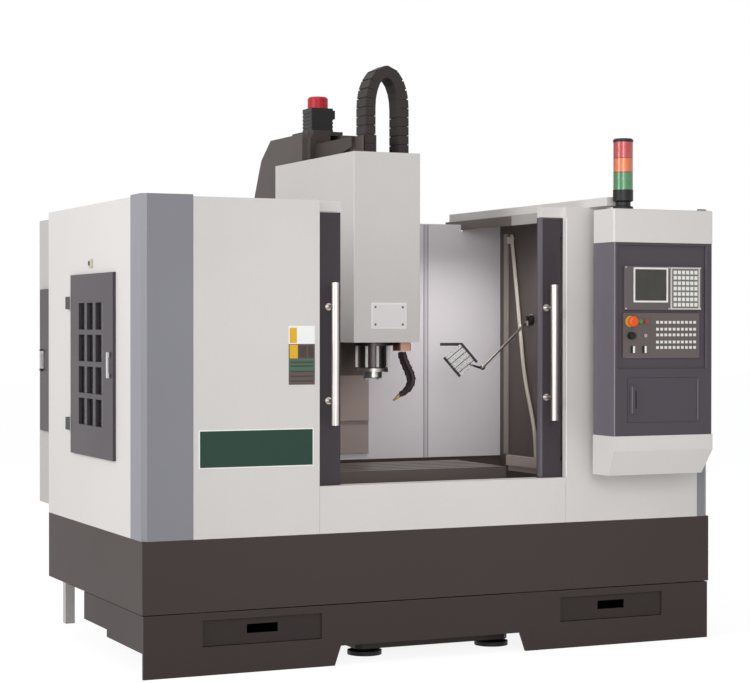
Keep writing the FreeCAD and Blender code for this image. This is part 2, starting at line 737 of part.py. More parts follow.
def chain_bend_links(bend_z, rise, count):
    """The links of the bend, set along half an ellipse that is as high as the rise."""
    arm = S.chain_bend.value
    centre = FreeCAD.Vector((S.chain_x - CENTRE_X).value, (S.chain_y - CENTRE_Y).value, bend_z.value)
    ellipse = Part.Ellipse(FreeCAD.Vector(0, rise, 0), FreeCAD.Vector(arm, 0, 0), FreeCAD.Vector(0, 0, 0))
    flat = ellipse.toShape(-math.pi / 2, math.pi / 2).discretize(Number=count + 1)
    links = []
    for here, there in zip(flat, flat[1:]):
        along_x, along_z = there.x - here.x, there.y - here.y
        angle = math.degrees(math.atan2(-along_x, along_z))
        middle = centre + FreeCAD.Vector((here.x + there.x) / 2, 0, (here.y + there.y) / 2)
        chord = math.hypot(along_x, along_z)
        links.append((middle, angle, chord))
    return links


def drag_chain():
    """The energy chain: a run of links bent over in a high arch, both legs going down."""
    x, y = S.chain_x, S.chain_y
    half_deep = S.chain_deep / 2
    half_thick = S.chain_thick / 2
    rise = S.chain_rise
    bend_z = S.chain_top - rise - half_thick
    pitch = 42
    slim = 10
    links = []
    for side, low in ((-1, 2170), (1, 2060)):
        leg = x + S.chain_bend * side
        count = int((bend_z.value - low) / pitch)
        for i in range(count):
            z = bend_z - pitch * (i + 1)
            links.append(box(leg - half_thick, y - half_deep, z + 3, leg + half_thick, y + half_deep,
                             z + pitch, "link"))
        links.append(box(leg - half_thick + slim / 2, y - half_deep + slim / 2, bend_z - pitch * count + 3,
                         leg + half_thick - slim / 2, y + half_deep - slim / 2, bend_z + 12, "link_core"))
    for middle, angle, chord in chain_bend_links(bend_z, rise.value, 10):
        spread = 1 + 0.6 * abs(math.sin(math.radians(angle))) ** 3
        links.append(chain_link(S.chain_thick, S.chain_deep, chord * spread - 3, middle, angle, "bend_link"))
        links.append(chain_link(S.chain_thick - slim, S.chain_deep - slim, chord * spread + 16, middle, angle,
                                "bend_core"))
    return keep(fuse(links, "drag_chain"), "drag_chain")


# ---- tool carousel -----------------------------------------------------------------------------------

def magazine_beam():
    """The beam that the carousel slides along, hung from a bracket that passes behind the wall
    and below the head's cover to the column."""
    reach = box(700, 1262, 990, S.column_left + 1, 1330, 1050, "beam_bracket")
    post = box(700, 1262, 990, 770, 1330, 1388, "beam_post")
    stem = box(700, 1200, 1338, 770, 1263, 1388, "beam_stem")
    bar = box(330, 1165, 1330, 1130, 1200, 1420, "beam_bar")
    return [fuse([reach, post, stem, bar], "magazine_beam")]


def magazine_carriage():
    """The arm that slides on the beam and holds the carousel's bearing and its motor."""
    x, y = S.carousel_x, S.spindle_y
    body = new_body("magazine_carriage")
    jaw = [(1140, 1300), (1195, 1300), (1195, 1324), (1162, 1324), (1162, 1424), (1204, 1424),
           (1204, 1395), (1211, 1395), (1211, 1438), (1140, 1438)]
    pad(body, "YZ", x - 120, x - 10, [jaw])
    arm = [(x - 120, 1162), (x - 45, y + 60), (x - 45, y - 60), (x + 45, y - 60), (x + 45, y + 60),
           (x - 10, 1162)]
    pad(body, "XY", 1270, 1318, [arm])
    pad(body, "XY", 1318, 1420, [rect(x - 40, y - 40, x + 40, y + 40)])
    pocket(body, "XY", 1269, 1320, [Round(x, y, 18.3)])
    bevel(body, 8, lambda e: along(e, "z") and e.CenterOfMass.z > 1330 and e.CenterOfMass.y < 900)
    return keep(body, "magazine_carriage")


def tool_carousel():
    """The carousel: a spoked disc with sixteen open pockets round its rim and a short shaft."""
    x, y = S.carousel_x, S.spindle_y
    low, high = S.carousel_low, S.carousel_low + S.carousel_thick
    pockets = 16
    body = new_body("carousel_disc", (x, y, 0))
    radius = S.carousel_radius
    rim = radius + 22
    pad(body, "XY", low, high, [Round(0, 0, rim)])
    for i in range(pockets):
        angle = math.radians(360 / pockets * i)
        c, n = math.cos(angle), math.sin(angle)
        mouth = []
        for out, across in ((-2, -24), (40, -24), (40, 24), (-2, 24)):
            mouth.append((radius * c + (out * c - across * n), radius * n + (out * n + across * c)))
        pocket(body, "XY", low - 1, high + 1, [mouth])
        pocket(body, "XY", low - 1, high + 1, [Round(radius * c, radius * n, 24)])
    lighten = []
    for i in range(6):
        angle = math.radians(60 * i + 30)
        lighten.append(Round(150 * math.cos(angle), 150 * math.sin(angle), 45))
    pocket(body, "XY", low - 1, high + 1, lighten)
    pad(body, "XY", high, 1264, [Round(0, 0, 60)])
    pad(body, "XY", 1264, 1316, [Round(0, 0, 18)])
    return keep(fuse([body] + tool_holders(), "tool_carousel"), "tool_carousel")


def tool_holders():
    """Fifteen tool holders in the pockets; the pocket that faces the spindle is empty."""
    x, y = S.carousel_x, S.spindle_y
    low = S.carousel_low
    flats = 12
    holders = []
    for i in range(1, 16):
        angle = math.radians(22.5 * i)
        cx = x + S.carousel_radius * math.cos(angle)
        cy = y + S.carousel_radius * math.sin(angle)
        flange = rod(cx, cy, low - 11, 24.5, 35)
        taper = cone(cx, cy, low + 24, 20, 11, 60)
        nut = doc.addObject("Part::Prism", "chuck_nut")
        nut.Polygon = flats
        bind(nut, "Circumradius", 21)
        bind(nut, "Height", 49.5)
        bind_place(nut, size(cx) - CENTRE_X, size(cy) - CENTRE_Y, low - 60)
        step = i % 3
        tool = rod(cx, cy, low - 130 + step * 18, 6 + step * 2, 71 - step * 18)
        holders.append(fuse([flange, taper, nut, tool], "holder"))
    return holders


# ---- skirt, tank and drawers ---------------------------------------------------------------------------

def base_skirt():
    """The dark skirt: one sheet folded round the front and both sides, with a shelf at its top."""
    w, d, t = S.machine_wide, S.enclosure_deep, S.skin + 1
    body = new_body("base_skirt")
    wall = [(0, 0), (w, 0), (w, d), (w - 700, d), (w - 700, d - t), (w - t, d - t), (w - t, t), (t, t),
            (t, d - t), (700, d - t), (700, d), (0, d)]
    pad(body, "XY", S.seam_high + 4, S.skirt_high, [wall])
    return keep(body, "base_skirt")


def chip_tray():
    """The tray that floors the work area: sheet round the bed, stepped down to the chip gutters."""
    w = S.machine_wide
    t = 4
    body = new_body("chip_tray")
    left, right = S.table_x - 505, S.table_x + 505
    high = S.skirt_high - 6
    pad(body, "XY", high - t, high, [rect(t + 0.5, t + 0.5, w - t - 0.5, S.wall_front - 6)])
    pocket(body, "XY", high - t - 1, high + 1, [rect(left, 160, right, S.wall_front)])
    return keep(body, "chip_tray")


def coolant_tank():
    """The coolant tank under the skirt: a front plate with a notch, and two wings beside the bed."""
    w = S.machine_wide
    body = new_body("coolant_tank")
    slope = 28
    front = [(4, 0), (S.notch_left, 0), (S.notch_left + slope, S.notch_high),
             (S.notch_right - slope, S.notch_high), (S.notch_right, 0), (w - 6, 0),
             (w - 6, S.seam_high), (4, S.seam_high)]
    pad(body, "XZ", 0, 14, [front])
    bed_left, bed_right = S.table_x - 390, S.table_x + 390
    wings = [(4, 10), (w - 6, 10), (w - 6, S.tank_deep), (bed_right, S.tank_deep), (bed_right, 150),
             (bed_left, 150), (bed_left, S.tank_deep), (4, S.tank_deep)]
    pad(body, "XY", S.drawer_low - 14, S.seam_high, [wings])
    pocket(body, "XY", S.drawer_low - 20, S.tank_low, [rect(0, 500, w, S.tank_deep + 10)])
    gap = 2
    for left in (S.left_drawer, S.right_drawer):
        mouth = rect(left - gap, S.drawer_low - gap, left + S.drawer_wide + gap, S.drawer_high + gap)
        pocket(body, "XZ", -1, S.drawer_deep + 20, [mouth])
    return keep(body, "coolant_tank")


def chip_drawer(label, left):
    """A chip drawer: an open tray behind a front plate that sits back in the tank, with a finger slot."""
    right = left + S.drawer_wide
    low, high = S.drawer_low, S.drawer_high
    body = new_body(label)
    pad(body, "XZ", 8, 8 + S.drawer_deep, [rect(left, low, right, high)])
    inside = rect(left + 4, 14, right - 4, S.drawer_deep + 2)
    pocket(body, "XY", low + 4, high + 1, [inside])
    middle = left + S.drawer_wide / 2
    pocket(body, "XZ", 7, 15, [rect(middle - 69, 160, middle + 69, 198)])
    return keep(body, label)


# ---- enclosure -------------------------------------------------------------------------------------------

def folded_front(label, left, right, low, high, edges=()):
    """A front panel: sheet with its edges folded back into a shallow pan."""
    body = new_body(label)
    skin, fold = S.skin, S.fold
    pad(body, "XZ", 0, fold, [rect(left, low, right, high)])
    inside = rect(left + skin, low + skin, right - skin, high - skin)
    pocket(body, "XZ", skin, size(fold) + 1, [inside])
    return body


def front_left_panel():
    pan = folded_front("left_pan", S.pillar_wide + 0.5, S.opening_left, S.skirt_high, S.panel_high)
    rail = upper_door_rail(S.pillar_wide + 60, S.stile_right)
    return keep(fuse([pan, rail], "front_left_panel"), "front_left_panel")


def sill_panel():
    """The panel under the door opening, with the lower track of the sliding doors on its top."""
    pan = folded_front("sill_pan", S.opening_left + 1, S.opening_right - 1, S.skirt_high, S.sill_high)
    return keep(fuse([pan, lower_door_track()], "sill_panel"), "sill_panel")


def front_right_panel():
    right = S.machine_wide - S.right_pillar_wide - 0.5
    pan = folded_front("right_pan", S.opening_right, right, S.skirt_high, S.panel_high)
    rail = upper_door_rail(S.machine_wide - S.stile_right + 22, S.machine_wide - 140)
    return keep(fuse([pan, rail], "front_right_panel"), "front_right_panel")


def corner_pillar(label, outer, inner, chamfered_x):
    """A corner pillar: an L of sheet, bevelled at the corner, that stands above the panels."""
    skin = S.skin
    cut_off = S.corner_cut
    deep = S.pillar_deep
    body = new_body(label)
    if chamfered_x == 0:
        plan = [(cut_off, 0), (inner, 0), (inner, skin), (cut_off + 1.3, skin), (skin, cut_off + 1.3),
                (skin, deep), (0, deep), (0, cut_off)]
    else:
        plan = [(outer - cut_off, 0), (outer, cut_off), (outer, deep), (outer - skin, deep),
                (outer - skin, cut_off + 1.3), (outer - cut_off - 1.3, skin), (inner, skin), (inner, 0)]
    pad(body, "XY", S.skirt_high, S.pillar_high, [plan])
    return keep(body, label)


def side_panel(label, outside, inward):
    """A side panel: sheet with folded edges and the doorway of the service door."""
    skin, fold = S.skin, S.fold
    inner = outside + fold * inward
    x0, x1 = (outside, inner) if inward > 0 else (inner, outside)
    body = new_body(label + "_pan")
    pan = rect(S.pillar_deep + 0.5, S.skirt_high, S.enclosure_deep, S.panel_high)
    pad(body, "YZ", x0, x1, [pan])
    hollow = rect(S.pillar_deep + 0.5 + skin, S.skirt_high + skin, S.enclosure_deep - skin,
                  S.panel_high - skin)
    if inward > 0:
        pocket(body, "YZ", outside + skin, inner + 1, [hollow])
        pad(body, "YZ", outside, inner, [rect(S.service_front - 3, S.service_low - 3,
                                              S.service_back + 3, S.service_high + 3)])
    else:
        pocket(body, "YZ", inner - 1, outside - skin, [hollow])
        pad(body, "YZ", inner, outside, [rect(S.service_front - 3, S.service_low - 3,
                                              S.service_back + 3, S.service_high + 3)])
    doorway = rect(S.service_front + 12, S.service_low + 12, S.service_back - 12, S.service_high - 12)
    pocket(body, "YZ", x0 - 1, x1 + 1, [doorway])
    hinges = service_hinges(outside, -inward)
    return keep(fuse([body] + hinges, label), label)


def service_door(label, outside, outward, glazed):
    """A service door on the outside of a side panel, with a pull handle; the glazed one has
    a grid of twelve window openings, the plain one a field of vent slots."""
    thick = 14
    far = outside + thick * outward
    x0, x1 = (outside, far) if outward > 0 else (far, outside)
    gap = 0.5
    if outward > 0:
        x0 = x0 + gap
    else:
        x1 = x1 - gap
    body = new_body(label)
    pad(body, "YZ", x0, x1, [rect(S.service_front, S.service_low, S.service_back, S.service_high)])
    columns, rows = 3, 4
    bar = 22
    wide = (S.pane_back - S.pane_front - bar * (columns - 1)) / columns
    high = (S.pane_high - S.pane_low - bar * (rows - 1)) / rows
    panes = []
    for c in range(columns if glazed else 0):
        for r in range(rows):
            y = S.pane_front + (wide + bar) * c
            z = S.pane_low + (high + bar) * r
            panes.append(rect(y, z, y + wide, z + high))
    for slot in range(0 if glazed else 10):
        z = S.pane_low + 26 * slot
        panes.append(rect(S.pane_front, z, S.pane_back, z + 8))
    pocket(body, "YZ", x0 - 1, x1 + 1, panes)
    grip_y = S.service_front + 42
    grip_low, grip_high, grip_foot = 1203, 1311, 20
    feet = [rect(grip_y - 7, grip_low, grip_y + 7, grip_low + grip_foot),
            rect(grip_y - 7, grip_high - grip_foot, grip_y + 7, grip_high)]
    bar = rect(grip_y - 7, grip_low, grip_y + 7, grip_high)
    if outward > 0:
        pad(body, "YZ", x1, x1 + 14, feet)
        pad(body, "YZ", x1 + 8, x1 + 14, [bar])
    else:
        pad(body, "YZ", x0 - 14, x0, feet)
        pad(body, "YZ", x0 - 14, x0 - 8, [bar])
    return keep(body, label)


def service_hinges(outside, outward):
    """The two black hinge blocks behind a service door's rear edge, each with its pin."""
    far = outside + outward * 16
    axis = outside + outward * 14
    x0, x1 = (outside, far) if outward > 0 else (far, outside)
    w0, w1 = (outside, axis) if outward > 0 else (axis, outside)
    tall = 56
    pieces = []
    for z in (957, 1495):
        pieces.append(box(x0, S.service_back + 6, z, x1, S.service_back + 76, z + tall, "hinge_block"))
        pieces.append(box(w0, S.service_back + 3, z, w1, S.service_back + 7, z + tall, "hinge_web"))
        pieces.append(rod(axis, S.service_back + 3, z, 2.7, tall, name="hinge_pin"))
    return pieces


def service_glass():
    """The dark pane behind the grid of the left service door."""
    pane = box(-0.5, S.pane_front - 8, S.pane_low - 8, 3.5, S.pane_back + 8, S.pane_high + 8, "pane")
    return keep(pane, "left_service_glass")


def inner_back_wall():
    """The wall behind the table: sheet with a slot for the head, set back in an apron at its foot."""
    front = S.wall_front
    body = new_body("inner_back_wall")
    left, right = 40, S.right_wall + 30
    pad(body, "XZ", front, front + 3, [rect(left, S.wall_low, right, 1926)])
    pad(body, "XY", S.wall_low - 3, S.wall_low, [rect(left, front, right, front + 9)])
    pad(body, "XZ", front + 6, front + 9, [rect(left, S.skirt_high - 2, right, S.wall_low)])
    pocket(body, "XZ", front - 1, front + 4, [rect(1178, 1085, 1534, 1930)])
    pocket(body, "XZ", front - 1, front + 4, [rect(690, 1328, 780, 1398)])
    edge = S.duct_left - 6
    pocket(body, "XZ", front - 1, front + 4, [rect(edge - 4, S.panel_high - 52, edge + 7, S.panel_high)])
    return keep(body, "inner_back_wall")


def light_hose():
    """The pale hose that hangs down the right wall, held by a clip at its top and a box at its foot."""
    x = S.right_wall.value - 10
    route = [(1082, 1873), (992, 1400), (951, 1180), (840, 900), (834, 777)]
    centre = FreeCAD.Vector(CENTRE_X.value, CENTRE_Y.value, 0)
    item = doc.addObject("Part::Feature", "light_hose")
    item.Shape = tube([FreeCAD.Vector(x, y, z) - centre for y, z in route], 9)
    return item


def inner_right_wall():
    """The right wall of the work area, with its splash box, the light hose and the lamp's foot."""
    x = S.right_wall
    body = new_body("wall_sheet")
    pad(body, "XY", S.skirt_high - 6, 1926, [rect(x, 84, x + 3, S.wall_front - 1)])
    pad(body, "XZ", 812, 1132, [rect(x - 13, 727, x + 1, 778)])
    pad(body, "XZ", 1070, 1095, [rect(x - 28, 1830, x + 1, 1862)])
    foot = rod(x - 8, 893, 1452, 26, 9, "x", "lamp_foot")
    post = rod(x - 24, 893, 1420, 8, 50, "z", "lamp_pin")
    ear = box(x - 30, 881, 1466, x + 1, 905, 1470, "lamp_ear")
    return keep(fuse([body, light_hose(), foot, post, ear], "inner_right_wall"), "inner_right_wall")


def lamp_arm():
    """The work lamp's arm: a bearing ring on the wall's pin, a bent tube, and a knuckle."""
    x, y = S.right_wall - 24, 893
    body = new_body("arm_ring", (x, y, 0))
    pad(body, "XY", 1422, 1446, [Round(0, 0, 14)])
    pocket(body, "XY", 1421, 1447, [Round(0, 0, 8.05)])
    centre = FreeCAD.Vector(CENTRE_X.value, CENTRE_Y.value, 0)
    start = FreeCAD.Vector(x.value - 12, y - 4, 1434) - centre
    bend = FreeCAD.Vector(2215, 866, 1424) - centre
    end = FreeCAD.Vector(1905, 704, 1226) - centre
    item = doc.addObject("Part::Feature", "arm_tube")
    pieces = []
    for here, there in ((start, bend), (bend, end)):
        pieces.append(Part.makeCylinder(6, there.sub(here).Length, here, there.sub(here)))
    pieces += [Part.makeSphere(6, bend), Part.makeSphere(13, end)]
    item.Shape = pieces[0].multiFuse(pieces[1:])
    return keep(fuse([body, item], "lamp_arm"), "lamp_arm")


def lamp_head():
    """The work lamp's head: a square pane between two bars, turned on its corner to face the
    front left, with guard wires before the pane, a clip at its top and the tilt pin's bracket."""
    half, deep, bar = 58, 24, 12
    centre = FreeCAD.Vector(1786, 700, 1262) - FreeCAD.Vector(CENTRE_X.value, CENTRE_Y.value, 0)
    facing = FreeCAD.Rotation(FreeCAD.Vector(0, 0, 1), -24.6)
    on_corner = facing.multiply(FreeCAD.Rotation(FreeCAD.Vector(0, 1, 0), 50))

    def block(x0, y0, z0, x1, y1, z1, turned, name):
        item = doc.addObject("Part::Box", name)
        bind(item, "Length", x1 - x0)
        bind(item, "Width", y1 - y0)
        bind(item, "Height", z1 - z0)
        corner = turned.multVec(FreeCAD.Vector(x0, y0, z0))
        item.Placement = FreeCAD.Placement(centre + corner, turned)
        return item

    pieces = [block(-half, -7, -half + 4, half, 7, half - 4, on_corner, "pane_case")]
    for low in (-half, half - bar):
        pieces.append(block(-half, -deep / 2, low, half, deep / 2, low + bar, on_corner, "side_bar"))
    for i in range(4):
        x = -half + 16 + i * 27
        pieces.append(block(x, -deep / 2, -half + 2, x + 3, -deep / 2 + 3, half - 2, on_corner, "guard_wire"))
    pieces.append(block(-96, -6, 66, 6, 6, 80, facing, "clip"))
    pin = rod(1880, 704, 1226, 5, 11.7, "x", "tilt_pin")
    bracket = doc.addObject("Part::Feature", "bracket")
    start = FreeCAD.Vector(1884, 704, 1226) - FreeCAD.Vector(CENTRE_X.value, CENTRE_Y.value, 0)
    reach = centre + FreeCAD.Vector(44, -14, -22) - start
    bracket.Shape = Part.makeCylinder(5, reach.Length, start, reach)
    return keep(fuse(pieces + [pin, bracket], "lamp_head"), "lamp_head")


def right_roof():
    """The roof over the right bay, folded down along the work area's edge."""
    skin = S.skin
    left = S.duct_left - 6
    high = S.panel_high
    body = new_body("right_roof")
    right = S.machine_wide - S.fold - 1
    profile = [(left, high - 48), (left + skin, high - 48), (left + skin, high - skin),
               (right, high - skin), (right, high), (left, high)]
    pad(body, "XZ", 66, S.enclosure_deep - 4, [profile])
    return keep(body, "right_roof")


def cable_duct():
    """The trunking that brings the pendant's cables over the roof, with its lid."""
    left = S.duct_left
    high = S.panel_high
    body = new_body("cable_duct")
    pad(body, "XY", high, high + 38, [rect(left, -160, left + 90, 1367)])
    bevel(body, 3, lambda e: along(e, "y") and e.CenterOfMass.z > S.panel_high.value + 30)
    return keep(body, "cable_duct")


def upper_door_rail(left, right):
    """The strip above a door stile that the door's rollers run behind."""
    return box(left, S.fold, S.door_high + 3, right, S.fold + 34, S.panel_high, "upper_door_rail")


def lower_door_track():
    """The track under the sliding doors, along the back of the sill."""
    body = new_body("lower_door_track")
    y0 = S.fold
    low = S.sill_high - 26
    profile = [(y0, low), (y0 + 46, low), (y0 + 46, low + 26), (y0 + 43, low + 26), (y0 + 43, low + 6),
               (y0 + 3, low + 6), (y0 + 3, low + 26), (y0, low + 26)]
    pad(body, "YZ", S.pillar_wide + 60, S.machine_wide - 140, [profile])
    return body


def sliding_door(label, x0, x1, stile_at_right):
    """A sliding door behind the front panel: a dark frame round a window, with a broad grip stile."""
    y0 = S.fold + 6
    y1 = y0 + S.door_thick
    low, high = S.door_low - 22, S.door_high
    stile = S.stile_right - S.stile_left + 6
    body = new_body(label)
    pad(body, "XZ", y0, y1, [rect(x0, low, x1, high)])
    if stile_at_right:
        window = rect(x0 + 60, low + 90, x1 - stile, high - 80)
    else:
        window = rect(x0 + stile, low + 90, x1 - 60, high - 80)
    pocket(body, "XZ", y0 - 1, y1 + 1, [window])
    return keep(body, label)


def door_glass(label, x0, x1, stile_at_right):
    y0 = S.fold + 6 + S.door_thick / 2 - 3
    low, high = S.door_low - 22, S.door_high
    stile = S.stile_right - S.stile_left + 6
    if stile_at_right:
        pane = box(x0 + 60, y0, low + 90, x1 - stile, y0 + 6, high - 80)
    else:
        pane = box(x0 + stile, y0, low + 90, x1 - 60, y0 + 6, high - 80)
    return keep(pane, label)


def door_handle(label, x):
    """A long tubular pull: a straight tube on two short stand-offs."""
    y = -40
    radius = S.handle_radius
    tube = rod(x, y, S.handle_low, radius, S.handle_high - S.handle_low)
    foot_y = S.fold + 6
    posts = [rod(x, y, z, 8, foot_y - y, "y") for z in (1108, 1502)]
    roses = [rod(x, foot_y - 5, z, 15, 5, "y") for z in (1108, 1502)]
    return keep(fuse([tube] + posts + roses, label), label)


# ---- electrical cabinet ------------------------------------------------------------------------------------

def electrical_cabinet():
    """The cabinet at the back left: a closed box on two legs, with a doorway in its left face."""
    body = new_body("electrical_cabinet")
    front = S.enclosure_deep + 4
    plan = rect(S.cabinet_left, front, S.cabinet_right, S.cabinet_back)
    pad(body, "XY", S.cabinet_low, S.cabinet_high, [plan])
    doorway = rect(1478, 915, 1806, 1598)
    pocket(body, "YZ", S.cabinet_left - 1, S.cabinet_left + 3, [doorway])
    room = rect(1486, 923, 1798, 1590)
    pocket(body, "YZ", S.cabinet_left - 1, S.cabinet_right - 12, [room])
    legs = [rect(x, y, x + 45, y + 45) for x, y in ((135, 1600), (840, 1600))]
    pad(body, "XY", 0, S.cabinet_low, legs)
    return keep(body, "electrical_cabinet")


def cabinet_door():
    """The cabinet's door, with a full height hinge barrel along one edge and a bow grip."""
    body = new_body("cabinet_door_sheet")
    left = S.cabinet_left
    pad(body, "YZ", left - 14, left + 2, [rect(1479, 916, 1805, 1597)])
    grip = [rect(1750, 1203, 1764, 1223), rect(1750, 1288, 1764, 1308)]
    pad(body, "YZ", left - 28, left - 14, grip)
    pad(body, "YZ", left - 28, left - 20, [rect(1750, 1203, 1764, 1308)])
    barrel = rod(left - 14, 1479, 916, 5, 681, name="hinge_barrel")
    return keep(fuse([body, barrel], "cabinet_door"), "cabinet_door")


# ---- pendant ---------------------------------------------------------------------------------------------

def pendant_housing():
    """The pendant's housing: cap, recessed control field, compartment and a base cut back below."""
    left, right = S.pendant_left, S.pendant_right
    front, back = -S.pendant_front, -S.pendant_back
    body = new_body("pendant_housing")
    pad(body, "XY", S.pendant_base, S.pendant_cap, [rect(left + 3, front + 3, right, back)])
    field = rect(left + 28, S.ledge_high, right - 34, S.pendant_cap - 12)
    recess = 14.3
    pocket(body, "XZ", front, front + recess, [field])
    stem_holes = [Round(2120, 1441, 11.6), Round(2120, 1380, 5.6), Round(2167, 1441, 7.6), Round(2195, 1441, 7.6)]
    pocket(body, "XZ", front + recess - 1, front + recess + 9, stem_holes)
    doorway = rect(2105, 1003, 2457, 1197)
    pocket(body, "XZ", front, front + 8, [doorway])
    pocket(body, "XZ", front, front + 130, [rect(2115, 1013, 2447, 1187)])
    bevel(body, 6, lambda e: along(e, "z") and e.CenterOfMass.y < front.value + 4 and e.Length > 400)
    post_x, post_y = 2490, -45
    for z in (1040, 1638):
        pad(body, "XY", z, z + 60, [rect(post_x - 32, -92, post_x + 32, -22)])
        pocket(body, "XY", z - 1, z + 61, [Round(post_x, post_y, 16.05)])
    return keep(body, "pendant_housing")


def pendant_cap():
    """The pale cap of the pendant, a little wider than the dark housing under it."""
    body = new_body("pendant_cap")
    front, back = -S.pendant_front, -S.pendant_back
    pad(body, "XY", S.pendant_cap, S.pendant_high, [rect(S.pendant_left, front, S.pendant_right, back)])
    bevel(body, 5, lambda e: along(e, "z") or e.CenterOfMass.z > S.pendant_high.value - 1)
    return keep(body, "pendant_cap")


def pendant_base():
    """The pale base of the pendant: upright at the top, cut back at the front and right below."""
    left, right = S.pendant_left, S.pendant_right
    front, back = -S.pendant_front, -S.pendant_back
    body = new_body("pendant_base")
    profile = [(front, S.pendant_base), (front, 880), (front + 44, S.pendant_low), (back, S.pendant_low),
               (back, S.pendant_base)]
    pad(body, "YZ", left, right, [profile])
    corner = [(right + 1, 880), (right - 29, S.pendant_low - 1), (right + 1, S.pendant_low - 1)]
    pocket(body, "XZ", front - 1, back + 1, [corner])
    return keep(body, "pendant_base")


def pendant_post():
    """The fixed post behind the pendant that it swivels on, held to the panel by two brackets."""
    x, y = 2490, -45
    post = rod(x, y, 965, 16, 770)
    arms = [box(x - 28, y - 20, z, x + 28, 0, z + 36) for z in (965, 1699)]
    return keep(fuse([post] + arms, "pendant_post"), "pendant_post")


def control_unit():
    """The screen and keypad unit: a frame with two recesses, for the glass and for the keys."""
    y = -S.pendant_front + 12
    body = new_body("unit_frame")
    pad(body, "XZ", y - 10, y + 2, [rect(2090, 1491, 2485, 1682)])
    pocket(body, "XZ", y - 11, y - 4, [rect(2142, 1532, 2302, 1668)])
    pocket(body, "XZ", y - 11, y - 7, [rect(2331, 1500, 2468, 1672)])
    bevel(body, 2, lambda e: e.CenterOfMass.y < y.value - 9.9 and (along(e, "x") or along(e, "z"))
          and e.Length > 185)
    return keep(fuse([body, keypad()], "control_unit"), "control_unit")


def screen_glass():
    y = -S.pendant_front + 12
    return keep(box(2142.5, y - 7, 1532.5, 2301.5, y - 4, 1667.5), "screen_glass")


def keypad():
    """The keypad beside the screen: pale domed keys in rows on one sheet."""
    y = -S.pendant_front + 12
    body = new_body("keypad")
    pad(body, "XZ", y - 9, y - 7, [rect(2331, 1500, 2468, 1672)])
    keys = []
    columns, rows = 6, 7
    for c in range(columns):
        for r in range(rows):
            x, z = 2338 + c * 21.5, 1507 + r * 23.5
            keys.append(rect(x, z, x + 16, z + 16))
    pad(body, "XZ", y - 12, y - 9, keys)
    return body


def operation_panel():
    """The operation panel under the screen, with rows of flat keys and the seats of its switches."""
    y = -S.pendant_front + 12
    body = new_body("operation_panel")
    pad(body, "XZ", y - 6, y + 2, [rect(2085, 1282, 2475, 1478)])
    holes = [Round(x, z, fit + 0.3) for x, z, fit in ((2120, 1441, 11), (2120, 1380, 5), (2167, 1441, 7),
                                                      (2195, 1441, 7))]
    pocket(body, "XZ", y - 7, y + 3, holes)
    pad(body, "XZ", y - 13, y - 6, [Round(2195, 1380, 8)])
    pad(body, "XZ", y - 12, y - 6, [rect(2121, 1305, 2141, 1335), rect(2180, 1305, 2200, 1335)])
    pocket(body, "XZ", y - 7, y - 5, [rect(2218, 1290, 2221, 1470)])
    keys = []
    for c in range(10):
        for z in (1328, 1352, 1383, 1408, 1438):
            x = 2258 + c * 21.3
            keys.append(rect(x - 7, z - 6, x + 7, z + 6))
    pad(body, "XZ", y - 8, y - 6, keys)
    return keep(body, "operation_panel")


def pendant_door():
    """The door of the compartment in the pendant's front, with a latch on its left edge."""
    front = -S.pendant_front
    body = new_body("pendant_door_sheet")
    pad(body, "XZ", front + 1, front + 7.5, [rect(2106, 1004, 2456, 1196)])
    pad(body, "XZ", front - 7, front + 1, [rect(2116, 1038, 2142, 1166)])
    bevel(body, 3, lambda e: e.CenterOfMass.y < front.value - 6.9)
    hinge = rod(2456, front + 1, 1006, 1.8, 188, name="door_hinge")
    return keep(fuse([body, hinge], "pendant_door"), "pendant_door")


def push_button(label, x, z, head, stem, reach):
    """A push button: a head with a bevelled rim before the panel and a stem through it."""
    face = -S.pendant_front + 6
    top = rod(x, face - reach, z, head, size(reach) - 9, "y", "button_head")
    shaft = rod(x, face - 9.001, z, stem, 20, "y", "button_stem")
    return keep(fuse([top, shaft], label), label)


def emergency_stop():
    """The red mushroom button: a domed cap on a short stem."""
    x, z = 2120, 1441
    face = -S.pendant_front + 6
    cap = cone(x, -S.front_reach, z, 16, 23, 8, "y", "stop_crown")
    rim = rod(x, -S.front_reach + 8, z, 23, 12, "y", "stop_rim")
    stem = rod(x, -S.front_reach + 19, z, 11, face + S.front_reach - 19 + 8, "y", "stop_stem")
    return keep(fuse([cap, rim, stem], "emergency_stop"), "emergency_stop")


def feed_knob():
    """The feed knob: a fluted knob with a pointer, on a thin shaft."""
    x, z = 2120, 1380
    face = -S.pendant_front + 6
    knob = rod(x, face - 26, z, 16, 22, "y", "knob")
    flutes = []
    for i in range(8):
        angle = math.radians(45 * i + 22.5)
        flutes.append(rod(x + 17.5 * math.cos(angle), face - 27, z + 17.5 * math.sin(angle), 3, 24, "y"))
    shaft = rod(x, face - 5, z, 5, 10, "y", "knob_shaft")
    pointer = box(x - 1.5, face - 28, z, x + 1.5, face - 25, z + 14, "pointer")
    return keep(fuse([cut(knob, flutes, "fluted"), shaft, pointer], "feed_knob"), "feed_knob")


def tower_lamp_stand():
    """The tower lamp's base, the rod through its lenses and the cap on top."""
    low = S.pendant_high
    body = new_body("tower_lamp_stand", (S.lamp_x, -S.lamp_y, 0))
    turn(body, [(0, low), (44, low), (44, low + 10), (33, low + 14), (33, low + 30), (44, low + 36),
                (44, low + 83), (12, low + 83), (12, low + 290), (44, low + 290), (44, low + 300),
                (38, low + 305), (0, low + 305)])
    return keep(body, "tower_lamp_stand")


